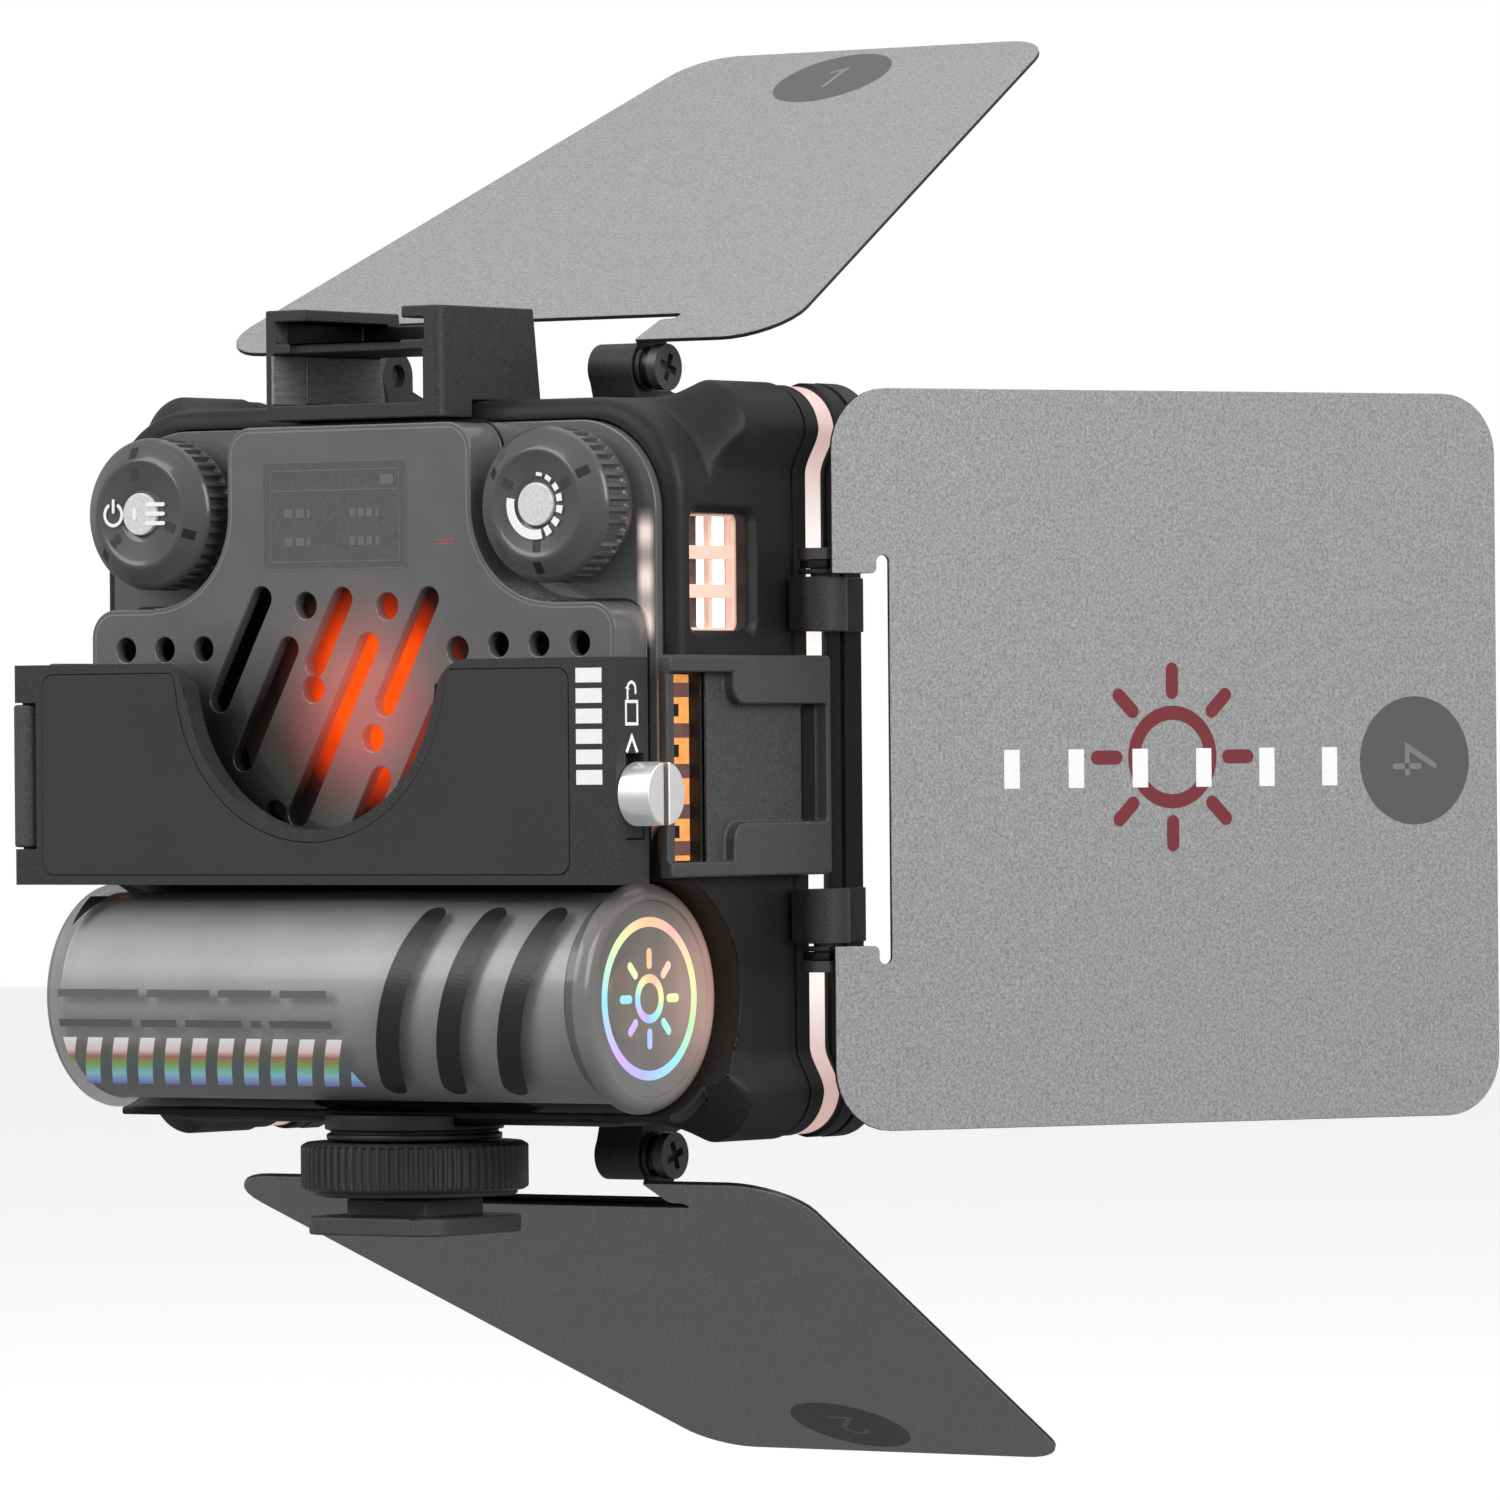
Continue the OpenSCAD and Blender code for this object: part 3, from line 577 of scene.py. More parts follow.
LEAF = surface("leaf sheet", (0.37, 0.37, 0.372), 0.45, metal=0.25, grain=0.27, relief=0.03, speckle=0.36,
               smudge=0.03)
LEAF_BLACK = surface("leaf black side", (0.020, 0.020, 0.021), 0.5, grain=0.2, relief=0.02, speckle=0.25)
# Black screws and washers, also used as painted shade inside the top shoe's channel.
BLACK_SCREW_AND_SHADE = surface("black screw and painted shade", (0.012, 0.012, 0.012), 0.3, metal=0.3, grain=0.5, relief=0.01)
SCREW_HEAD = surface("worn screw head", (0.11, 0.11, 0.112), 0.38, metal=0.5, grain=0.3, relief=0.01)
# Black moulded parts, also used as painted shade on the clips.
BLACK_PART_AND_SHADE = surface("black moulding and painted shade", (0.018, 0.018, 0.019), 0.42, grain=0.4, relief=0.01)
KNURLED = surface("knurled black metal", (0.046, 0.046, 0.047), 0.40, grain=0.2, specular=0.4)
STEEL = surface("spring steel", (0.55, 0.55, 0.56), 0.3, metal=1.0, grain=0.6, relief=0.01, speckle=0.06)
# The lock screw's turned steel, brightened with a painted glow.
BRIGHT_STEEL = surface("turned steel", (0.97, 0.97, 0.97), 0.30, metal=1.0, grain=0.5, relief=0.004,
                       speckle=0.05, painted_glow=0.22, brushed=(0.1, 1, 1))
SLOT_SHADE = surface("shaded screw slot", (0.36, 0.31, 0.29), 0.5, metal=0.3, grain=0.5)
BRASS = surface("brass", (0.78, 0.56, 0.24), 0.28, metal=1.0, grain=0.6, relief=0.005)
GOLD = surface("gold contact", (0.90, 0.66, 0.25), 0.22, metal=1.0, grain=0.6, relief=0.004)
WHITE_BOX = glowing("lit white reflector", (1.0, 0.80, 0.76), 0.55)
BOARD_WHITE = surface("white board", (0.75, 0.75, 0.72), 0.4, grain=0.8, relief=0.01, speckle=0.04)
BOARD_GREEN = surface("dark board", (0.05, 0.05, 0.055), 0.35, grain=1.2, relief=0.03, speckle=0.4)
LED_WARM = surface("warm led", (0.95, 0.62, 0.20), 0.3, grain=0.5, relief=0.01)
LED_COOL = surface("cool led", (0.92, 0.88, 0.55), 0.3, grain=0.5, relief=0.01)
# Painted light: a faint glow on the heat sink, and painted lit and shaded fins seen through the vents.
HEAT_SINK = glowing("heat sink", (0.030, 0.026, 0.026), 0.8, (0.05, 0.045, 0.04), 0.3, 1.5)
VENT_GLOW = glowing("warm lit fins", (1.0, 0.40, 0.10), 0.85, (0.60, 0.25, 0.08), 0.35, 1.6)
VENT_BAR = glowing("shaded fins", (0.17, 0.085, 0.07), 0.9, (0.05, 0.03, 0.03), 0.3, 1.0)
KNOB_DISC = surface("knob disc", (0.86, 0.86, 0.86), 0.5, metal=0.35, relief=0.015, speckle=0.16)
SLEEVE = surface("grey satin film", (0.68, 0.68, 0.685), 0.50, metal=0.35, grain=0.5, relief=0.004,
                 speckle=0.05)
CELL = surface("cell wrap", (0.10, 0.10, 0.11), 0.3, grain=0.6, relief=0.005)
# Painted light and shade on the cover: a red glow over the fan, and painted shade over the dark hollow at its
# lower left.
SMOKE = smoke("smoke cover", (0.175, 0.172, 0.175), 0.93, 0.24, 0.02,
              glow=(FAN_CENTRE, 14.5, (1.0, 0.13, 0.08), 0.36), painted_shade=(spot(-15, -24, -3), 19))
KNOB = smoke("knob smoke", (0.105, 0.104, 0.105), 0.95, 0.22, coat=0.5)
SPOKE_FAINT = surface("inner spokes", (0.055, 0.055, 0.056), 0.3, grain=0.4, speckle=0.2)
TUBE = smoke("clear tube", (0.16, 0.16, 0.16), 0.16, 0.08, 0.02)
# Painted shade: the tube's rolled end, denser and darker, for the grey that refraction gives it.
TUBE_END_SHADE = smoke("clear tube end", (0.20, 0.20, 0.20), 0.72, 0.1, 0.04)
# Painted glow: a pink-orange glow on the cap near its end, towards the front.
CAP = smoke("clear cap", (0.33, 0.315, 0.31), 0.66, 0.16,
            glow=(spot(TUBE_HIGH.x + 1, TUBE_Y + 13, TUBE_Z + 1), 15, (1.0, 0.50, 0.36), 0.32))
DISPLAY = surface("display glass", (0.030, 0.030, 0.034), 0.18, grain=1.0, relief=0.0, coat=0.6)
DIFFUSER = lit_diffuser()
GRILLE = glowing("lit side grille", (1.0, 0.64, 0.52), 0.50, (0.9, 0.62, 0.52), 0.25, 2)
WINDOW_GLOW = glowing("lit side window", (1.0, 0.90, 0.87), 1.25, streak=0.14, size=2.5)
WINDOW_DARK = surface("unlit window corner", (0.12, 0.08, 0.065), 0.5, grain=1.5, speckle=0.4)
# The white ink is given a faint painted glow.
WHITE_INK = ink("white ink", (0.88, 0.88, 0.88), glow=0.3)
RED_INK = ink("dark red ink", (0.23, 0.018, 0.028))
DISC_INK = ink("darker number disc", (0.115, 0.115, 0.116))
NUMBER_INK = ink("number ink", (0.25, 0.25, 0.25))
DARK_INK = ink("dark ink", (0.022, 0.022, 0.022), 0.35)
GREY_INK = ink("grey ink", (0.15, 0.15, 0.15), 0.4)
SCREEN_FIELD = surface("screen field", (0.115, 0.113, 0.115), 0.30, grain=0.5, relief=0.0, coat=0.4)
SCREEN_INK = ink("screen marks", (0.19, 0.185, 0.19), 0.4)
# Painted highlight and painted shade for the smoke cover's edge, and painted red glints on it.
EDGE_HIGHLIGHT = ink("painted edge highlight", (0.30, 0.30, 0.30), 0.25)
EDGE_SHADE = ink("shaded moulded edge", (0.012, 0.012, 0.012), 0.3)
GLINT = ink("red glints", (0.34, 0.12, 0.09), 0.4, 0.1)

WINDOW = (-17.9, 13.6, -7.4, 25.7)    # side window: y, z to y, z
FLARED_WINDOW = (-18.9, 12.6, -6.4, 26.7)    # the same, where it meets the outside
VENT = (-22.0, -10.6, -17.0, 9.2)     # air vents in both sides, open to the rear
USB_MOUTH = (-14.7, 15.4, -11.3, 24.6)    # y, z to y, z, in the left side
WELL = (-35.85, -12.55, 35.85, 35.75)    # the seat of the smoke cover: x, z to x, z
OPENING = 33    # half the width of the bezel's opening


def housing():
    """The rear housing: soft rear rim, bumpers that swell out of it, and a lip behind the glowing edge."""
    low, high = edges_of("rear_housing")
    rim, front = low.y, high.y
    rear_round = ((0.0, 1.9), (0.05, 1.45), (0.2, 0.95), (0.5, 0.5), (0.9, 0.22), (1.5, 0.04),
                  (2.2, 0.0), (4.2, 0.0))
    levels = [(rim + y, BODY_HALF, RIM_CORNER, -inset) for y, inset in rear_round]
    for part, rise in ((0.0, 0.0), (0.06, 0.015), (0.12, 0.06), (0.2, 0.14), (0.35, 0.31), (0.5, 0.5),
                       (0.65, 0.69), (0.8, 0.86), (0.88, 0.94), (0.94, 0.985), (1.0, 1.0)):
        levels.append((-15.2 + 4.7 * part, BODY_HALF + (BUMPER_HALF - BODY_HALF) * rise,
                       RIM_CORNER + (CORNER - RIM_CORNER) * rise, 0.0))
    lip = ((-6.0, 0.0), (-0.4, 0.0), (-0.22, 0.06), (-0.16, 0.75), (0.12, 0.75), (0.16, 0.32), (0.3, 0.26),
           (front - 0.15, 0.26), (front, 0.4))
    levels += [(y, BUMPER_HALF, CORNER, -inset) for y, inset in lip]
    bm = bmesh.new()
    loft(bm, levels)
    shell = new_object("rear_housing_shell", bm)
    inside = BODY_HALF - 2.2
    cradle_floor = -37.4
    cut_with(shell, through_y(rounded_loop(-inside, -inside, inside, inside, 6), rim + 2, front + 1))
    cradle = [(TUBE_Y + u, max(cradle_floor, TUBE_Z + v)) for u, v in arc(0, 0, TUBE_R + 1.7, -81, 81, 48)]
    cut_with(shell, through_x((-inside - 0.4, cradle), (inside + 0.4, cradle)), "UNION")
    cut_with(shell, through_y(rounded_loop(*WELL, 9.8, 10), rim - 1, rim + 3))
    bed = [(TUBE_Y + u, TUBE_Z + v) for u, v in circle(0, 0, TUBE_R + 0.3, 96)]
    cut_with(shell, through_x((-40, bed), (40, bed)))
    window, wide = rounded_loop(*WINDOW, 0.9), rounded_loop(*FLARED_WINDOW, 1.9)
    vent = rounded_loop(*VENT, 0.6)
    for side in (1, -1):
        if side > 0:
            cut_with(shell, through_x((35.0, window), (37.3, window), (38.1, wide)))
        cut_with(shell, through_x((35 * side, vent), (39 * side, vent)))
    socket = rounded_loop(*USB_MOUTH, 1.6)
    cut_with(shell, through_x((-35, socket), (-39, socket)))
    round_edges(shell, 0.22, 2, 38, False)
    finish_piece(shell, "light", "housing_plastic", HOUSING, "rear_housing")


def glowing_edge():
    """The opal diffuser: its edge shows all round the light, and its face fills the bezel."""
    low, high = edges_of("diffuser")
    bm = bmesh.new()
    loft(bm, [(low.y + y, BUMPER_HALF, CORNER, -inset) for y, inset in
              ((0.0, 0.6), (0.2, 0.36), (2.75, 0.36), (2.95, 0.6))])
    edge = new_object("diffuser_body", bm)
    half = OPENING - 0.2
    cut_with(edge, through_y(rounded_loop(-half, -half, half, half, 1.5), low.y + 2.0, high.y), "UNION")
    edge.data.shade_smooth()
    edge.data.set_sharp_from_angle(angle=math.radians(35))
    finish_piece(edge, "light", "diffuser_glow", DIFFUSER, "diffuser")


def bezel():
    """The front bezel ring with rounded edges."""
    low, high = edges_of("front_bezel")
    bm = bmesh.new()
    deep = high.y - low.y
    loft(bm, [(low.y + y, BUMPER_HALF, CORNER, grow) for y, grow in
              ((0.0, -0.3), (0.2, 0.05), (deep - 0.5, 0.05), (deep - 0.15, -0.12), (deep, -0.5))])
    ring = new_object("front_bezel_ring", bm)
    cut_with(ring, through_y(rounded_loop(-OPENING, -OPENING, OPENING, OPENING, 1.6), low.y - 1, high.y + 1))
    round_edges(ring, 0.25, 2, 50, False)
    finish_piece(ring, "light", "bezel_plastic", BEZEL, "front_bezel")


housing()
glowing_edge()
bezel()

# node: (material, rounding in millimetres, or 0 to keep the CAD mesh)
LOOKS = {
    "rear_cover": (SMOKE, 0.16), "light_box": (WHITE_BOX, 0), "led_board": (BOARD_WHITE, 0),
    "warm_leds": (LED_WARM, 0.1), "cool_leds": (LED_COOL, 0.1), "heat_sink": (HEAT_SINK, 0.12),
    "fan_frame": (BLACK_PART_AND_SHADE, 0.3), "fan_rotor": (BLACK_PART_AND_SHADE, 0.2), "control_board": (BOARD_GREEN, 0.1),
    "display": (DISPLAY, 0.2), "encoders": (STEEL, 0.2), "side_light_grille": (GRILLE, 0.2),
    "usb_port": (STEEL, 0.1), "left_plunger": (STEEL, 0.2), "right_plunger": (STEEL, 0.2),
    "left_knob_disc": (KNOB_DISC, 0.12), "right_knob_disc": (KNOB_DISC, 0.12),
    "battery_sleeve": (SLEEVE, 0), "battery_cell": (CELL, 0.4), "tube_contact": (GOLD, 0.1),
    "clamp_plate": (STEEL_BLACK, 0.35), "clamp_pad": (RUBBER, 0.2), "clamp_pin": (STEEL_BLACK, 0.2),
    "left_clip": (CLIP_BLACK, 0.3), "right_clip": (CLIP_BLACK, 0.3), "lock_slider": (STEEL_BLACK, 0.2),
    "lock_screw": (BRIGHT_STEEL, 0.15), "top_shoe": (STEEL_BLACK, 0.2), "shoe_screw": (BLACK_SCREW_AND_SHADE, 0.1),
    "base_boss": (BLACK_PART_AND_SHADE, 0.3), "thread_insert": (BRASS, 0.1), "shoe_foot": (CLIP_BLACK, 0.25),
    "door_frame": (STEEL_BLACK, 0.3), "right_leaf": (LEAF, 0.15), "left_leaf": (LEAF, 0.15),
    "top_leaf": (LEAF, 0.15), "bottom_leaf": (LEAF, 0.15), "hinge_screws": (SCREW_HEAD, 0.12),
    "hinge_washers": (BLACK_SCREW_AND_SHADE, 0.1),
}
SLOTS = {entry["node"]: entry["material_slot"] for entry in frame["record"]["subparts"]}

# Nodes whose edges keep their whole rounding where two of them run close together.
FULL_ROUNDING = {"left_clip", "right_clip", "top_shoe", "shoe_foot", "rear_cover"}

PIECES = {}
for node, (material, width) in LOOKS.items():
    if width:
        shell = soften(node, width, node not in FULL_ROUNDING)
        PIECES[node] = finish_piece(shell, BODY_OF[node], SLOTS[node], material, node)
    else:
        NODES[node].data.materials.clear()
        NODES[node].data.materials.append(material)


def paint_leaf(side):
    """Blackens a leaf's ears, edges and inner face, so that only its outer face stays grey."""
    lean = math.radians(LEAN[side])
    axis, sign = {"right": (0, 1), "left": (0, -1), "top": (2, 1), "bottom": (2, -1)}[side]

    def hidden(point):
        out = sign * point[axis] - HINGE
        return out * math.cos(lean) - point.y * math.sin(lean) < LEAF_FACE - 0.08

    paint(PIECES[side + "_leaf"], LEAF_BLACK, hidden)


for side in LEAN:
    paint_leaf(side)
# Painted shade: the clips' inner faces towards the front, between clip and housing, are painted near black.
for side in ("right", "left"):
    paint(PIECES[side + "_clip"], BLACK_PART_AND_SHADE, lambda point: abs(point.x) < 38.6 and point.y > 0.45)
paint(PIECES["top_shoe"], WALL_BRUSHED, lambda point: -10.6 < point.x < -8.4 and 38.5 < point.z < 43)
# Painted shade: the inside of the shoe's channel is painted near black.
paint(PIECES["top_shoe"], BLACK_SCREW_AND_SHADE,
      lambda point: abs(point.x) < 9.7 and point.y > -25.6 and 44.2 < point.z < 46.8)
SCREW_LOW, SCREW_HIGH = edges_of("lock_screw")
slot_y = (SCREW_LOW.y + SCREW_HIGH.y) / 2
paint(PIECES["lock_screw"], SLOT_SHADE,
      lambda point: SCREW_HIGH.x - 1 < point.x < SCREW_HIGH.x - 0.2 and abs(point.y - slot_y) < 0.5)


# ---- knobs ----

def knob(side, marks):
    """A smoke-clear knob: domed face, chamfer, fluted grip and the dark spokes seen through it."""
    low, high = edges_of(side + "_knob")
    x, z = (low.x + high.x) / 2, (low.z + high.z) / 2
    face, back = low.y, high.y
    grip = (high.x - low.x) / 2
    flutes = 40

    def groove(reach, distance, turn):
        if reach < grip - 0.2:
            return 0.0
        depth = 0.45 * max(0.0, min(1.0, (distance - 1.9) / 0.3, (5.3 - distance) / 0.3))
        return -depth * min(1.0, max(0.0, math.cos(flutes * turn) + 0.25) * 2.5)

    profile = [(2.1, 0.55), (2.35, 0.5), (2.6, 0.30), (3.0, 0.22), (5.0, 0.12), (5.25, 0.06), (5.45, 0.0),
               (5.75, 0.0), (6.0, 0.1), (6.9, 0.75), (7.35, 1.05), (7.6, 1.2), (7.85, 1.4),
               (grip - 0.06, 1.65), (grip, 1.9), (grip, 2.15), (grip, 2.4), (grip, 3.2), (grip, 4.2),
               (grip, 4.8), (grip, 5.05), (grip, 5.3), (grip - 0.1, 5.5), (grip - 0.45, 5.75),
               (grip - 0.5, back - face - 0.15), (grip - 0.65, back - face), (2.1, back - face)]
    bm = bmesh.new()
    rings = lathe(bm, profile, spot(x, face, z), Vector((0, 1, 0)), Vector((1, 0, 0)), flutes * 12, groove)
    bm.faces.new(rings[0])
    bm.faces.new(rings[-1])
    finish_mesh(side + "_knob_body", bm, side + "_knob", "knob_smoke", KNOB, side + "_knob", smooth=50)

    place = on_wall("y", face)
    bm, faint = bmesh.new(), bmesh.new()
    for turn in ((100, 220, 340) if side == "left" else (30, 150, 270)):
        out = ray(turn)
        for part, inner, outer, sink0, sink1 in ((bm, 6.0, 7.2, -0.12, -0.97),
                                                 (faint, 3.6, 5.0, -0.19, -0.13)):
            wide = Vector((-out.y, out.x)) * 0.5
            corners = [(out * inner + wide, sink0), (out * inner - wide, sink0),
                       (out * outer - wide, sink1), (out * outer + wide, sink1)]
            part.faces.new([part.verts.new(place(x + c.x, z + c.y, sink + 0.03)) for c, sink in corners])
    finish_mesh(side + "_knob_spokes", bm, side + "_knob", "knob_smoke", BLACK_PART_AND_SHADE)
    finish_mesh(side + "_knob_inner_spokes", faint, side + "_knob", "knob_smoke", SPOKE_FAINT)

    bm = bmesh.new()
    above_disc = face - edges_of(side + "_knob_disc")[0].y
    marks(bm, lambda u, v, lift=0.0: place(x + u, z + v, lift + max(0.0, above_disc) + 0.01))
    finish_mesh(side + "_knob_marks", bm, side + "_knob", "knob_disc", WHITE_INK)


def power_marks(bm, place):
    """A power symbol, a short divider and a three-bar menu symbol across the left knob."""
    centre = -3.5
    strip(bm, [(centre + u, v) for u, v in arc(0, 0, 1.15, 125, 415, 30)], 0.36, place)
    strip(bm, [(centre, 0.3), (centre, 1.5)], 0.36, place)
    strip(bm, [(-0.6, -0.45), (-0.6, 0.45)], 0.42, place, lift=0.09)
    for v in (-1.0, 0.0, 1.0):
        strip(bm, [(1.1, v), (3.3, v)], 0.42, place, lift=0.09)


def level_marks(bm, place):
    """A thick arc and a ring of dashes around the right knob's disc."""
    strip(bm, arc(0, 0, 3.15, 168, 285, 24), 1.0, place, rounded=False)
    dashes = ((300, 0.95), (325, 0.85), (350, 0.78), (372, 0.7), (394, 0.6), (418, 0.5), (440, 0.36))
    for turn, width in dashes:
        strip(bm, arc(0, 0, 3.15, turn - 7, turn + 7, 5), width, place, rounded=False)


knob("left", power_marks)
knob("right", level_marks)


# ---- battery tube ----

def tube():
    """The clear tube with its rolled left end, and the stepped cap on its right end."""
    axis = Vector((1, 0, 0))
    start = Vector((0, 0, 1))
    inner = TUBE_R - 0.9
    bm = bmesh.new()
    length = TUBE_HIGH.x - TUBE_LOW.x
    profile = [(0.01, 0.0), (10.9, 0.0), (11.3, 0.06), (11.65, 0.25), (11.88, 0.55), (TUBE_R, 0.95),
               (TUBE_R, length * 0.5), (TUBE_R, length), (inner, length), (inner, 2.0), (10.6, 1.4),
               (9.4, 1.2), (0.01, 1.2)]
    lathe(bm, profile, spot(TUBE_LOW.x, TUBE_Y, TUBE_Z), axis, start)
    clear = finish_mesh("battery_tube_clear", bm, "light", "tube_clear", TUBE, "battery_tube", smooth=35)
    # Painted shade on the rolled end.
    paint(clear, TUBE_END_SHADE, lambda point: point.x < TUBE_LOW.x + 1.7)

    low, high = edges_of("tube_cap")
    bm = bmesh.new()
    deep = high.x - low.x
    profile = [(0.01, 0.0), (inner - 0.15, 0.0), (inner - 0.15, 1.6), (TUBE_R, 1.7), (TUBE_R, deep - 1.3),
               (11.85, deep - 0.75), (11.45, deep - 0.28), (10.9, deep - 0.03), (10.5, deep),
               (10.25, deep - 0.05), (10.1, deep - 0.35), (9.95, deep - 0.42), (0.01, deep - 0.42)]
    lathe(bm, profile, spot(low.x, TUBE_Y, TUBE_Z), axis, start)
    finish_mesh("tube_cap_clear", bm, "light", "cap_clear", CAP, "tube_cap", smooth=35)


tube()


# ---- adapter wheel ----

def wheel():
    """The knurled wheel: straight square knurls between plain chamfered rims, and a lower step."""
    low, high = edges_of("adapter_wheel")
    reach = (high.x - low.x) / 2
    knurls = 72
    deep = high.z - low.z

    def cut(far, distance, turn):
        if far < reach - 0.3 or not 0.95 < distance < deep - 0.4:
            return 0.0
        wave = math.cos(knurls * turn)
        return -0.36 * min(1.0, max(0.0, (wave + 0.55) / 0.5))

    bore = 3.2
    profile = [(bore, 0.0), (reach - 1.6, 0.0), (reach - 1.2, 0.15), (reach - 1.15, 0.5), (reach - 0.45, 0.6),
               (reach - 0.06, 0.9), (reach, 1.0), (reach, 2.0), (reach, 4.0), (reach, deep - 0.45),
               (reach - 0.12, deep - 0.3), (reach - 0.6, deep - 0.02), (reach - 0.8, deep), (bore, deep)]
    bm = bmesh.new()
    centre = spot((low.x + high.x) / 2, (low.y + high.y) / 2, low.z)
    rings = lathe(bm, profile, centre, Vector((0, 0, 1)), Vector((1, 0, 0)), knurls * 10, cut)
    skin(bm, [rings[-1], rings[0]])
    finish_mesh("knurled_wheel", bm, "adapter_wheel", "black_metal", KNURLED, "adapter_wheel", smooth=38)


wheel()


# ---- marks on the leaves ----

DIGITS = {
    "right": [[(1.35, -0.95), (-1.5, -0.95), (0.55, 2.5)], [(0.62, 0.55), (0.62, -2.5)]],
    "left": [[(-1.3, 2.4), (1.3, 2.4), (-0.1, 0.45)] + arc(-0.1, -0.95, 1.4, 80, -150, 14)],
    "top": [[(-1.0, 1.6), (0.35, 2.5), (0.35, -2.5)]],
    "bottom": [arc(0, 1.15, 1.35, 165, -35, 14) + [(-1.4, -2.4), (1.4, -2.4)]],
}
DISC_V = {"right": 70.6, "left": 70.6, "top": 72.6, "bottom": 72.4}
DISC_U = {"right": 0.6, "left": -0.6, "top": -0.4, "bottom": 0.0}

for side in ("right", "left", "top", "bottom"):
    u, v = DISC_U[side], DISC_V[side]
    place = on_leaf(side)
    bm = bmesh.new()
    patch(bm, circle(u, v, 6.9, 72), place, lift=0.012)
    finish_mesh(side + "_number_disc", bm, side + "_leaf", "leaf_sheet", DISC_INK)
    bm = bmesh.new()
    for line in DIGITS[side]:
        strip(bm, [(u + a, v + b) for a, b in line], 0.62, place, lift=0.03)
    finish_mesh(side + "_number", bm, side + "_leaf", "leaf_sheet", NUMBER_INK)

def sun(bm, v, radius, inner, outer, width, place, steps):
    """A generic sun mark: a ring, and eight rays from inner to outer."""
    strip(bm, circle(0, v, radius, steps), width, place, closed=True)
    for i in range(8):
        out = ray(45 * i)
        strip(bm, [(out.x * reach, v + out.y * reach) for reach in (inner, outer)], width, place)


bm = bmesh.new()
place = on_leaf("right")
sun(bm, 40.3, 4.7, 6.9, 9.3, 1.5, place, 60)
finish_mesh("right_leaf_sun", bm, "right_leaf", "leaf_sheet", RED_INK)

bm = bmesh.new()
for i in range(6):
    v = 20.6 + i * 7.85
    patch(bm, rectangle(-0.9, v - 0.95, 3.2, v + 0.95), place, lift=0.035)
finish_mesh("right_leaf_dashes", bm, "right_leaf", "leaf_sheet", WHITE_INK)


# ---- marks on the clamp ----

CLAMP = edges_of("clamp_plate")
bm = bmesh.new()
place = on_wall("y", CLAMP[0].y)
for i in range(6):
    v = 9.7 - i * 2.1
    patch(bm, rectangle(32.9, v - 1.5, 36.2, v), place)
finish_mesh("clamp_bars", bm, "clamp_plate", "black_metal", WHITE_INK)

bm = bmesh.new()
place = on_wall("x", CLAMP[1].x, 1)
lock_u = -29.3
strip(bm, [(lock_u + a, b) for a, b in ((-1.0, 3.9), (1.0, 3.9), (1.0, 6.2), (-1.0, 6.2))], 0.32, place,
      closed=True)
strip(bm, [(lock_u - 0.7, 6.3), (lock_u - 0.7, 7.5)] + [(lock_u + a, b) for a, b in
      arc(0.0, 7.5, 0.7, 180, 0, 10)] + [(lock_u + 0.7, 7.1)], 0.32, place)
strip(bm, [(lock_u - 0.95, 1.0), (lock_u, 2.6), (lock_u + 0.95, 1.0)], 0.4, place, rounded=False)
finish_mesh("clamp_lock_marks", bm, "clamp_plate", "black_metal", WHITE_INK)


# ---- marks on the battery tube ----

ink_r = TUBE_R + 0.005
place = on_tube(ink_r)
bm = bmesh.new()
steps = 42
for u in (10.8, 18.6, 26.4):
    line = [(u - 2.8 + 5.6 * i / steps, -10.2 + 19.8 * i / steps) for i in range(steps + 1)]
    strip(bm, line, 2.9, place)
patch(bm, [(-33.6, 8.2), (-31.4, 13.1), (-34.0, 13.0)], place, 0.5)
finish_mesh("tube_slashes", bm, "light", "sleeve_grey", DARK_INK)

bm = bmesh.new()
for v, words in ((0.5, (10.9, 8.3, 7.0, 6.1)), (-2.7, (9.8, 4.8, 7.5, 1.4, 8.1))):
    u = -33.5
    for word in words:
        strip(bm, [(u, v), (u + word, v)], 0.8, place, rounded=False)
        u += word + 1.15
finish_mesh("tube_lines", bm, "light", "sleeve_grey", GREY_INK)


def rainbow_bars():
    """The row of slanted bars in spectrum colours, given a painted glow."""
    bm = bmesh.new()
    for i in range(10):
        u = -33.0 + i * 3.53
        patch(bm, [(u, -10.5), (u + 1.95, -10.5), (u + 4.95, -4.3), (u + 3.0, -4.3)], place, 0.5)
    patch(bm, [(-33.4, -7.7), (-33.2, -7.7), (-31.55, -4.3), (-33.4, -4.3)], place, 0.5)
    patch(bm, [(2.3, -10.5), (4.25, -10.5), (3.5, -8.1)], place, 0.5)
    material, shader, points = new_material("spectrum bars")
    level = remap(coordinate(points, "Z"), 0, 1, place(0, -10.5).z, place(0, -4.3).z)
    stops = [(0.0, (0.25, 0.22, 0.62)), (0.22, (0.32, 0.68, 0.80)), (0.42, (0.25, 0.48, 0.14)),
             (0.6, (0.42, 0.18, 0.13)), (0.74, (0.82, 0.66, 0.66)), (1.0, (0.85, 0.88, 0.88))]
    shade = colour_ramp(level, stops)
    fine = noise(stretched(points, (4, 1, 0.3)), 0.6)
    wire(shader, {"Base Color": shade, "Emission Color": shade, "Emission Strength": 0.25,
                  "Roughness": remap(fine, 0.2, 0.35)})
    finish_mesh("tube_spectrum_bars", bm, "light", "sleeve_grey", material)


rainbow_bars()


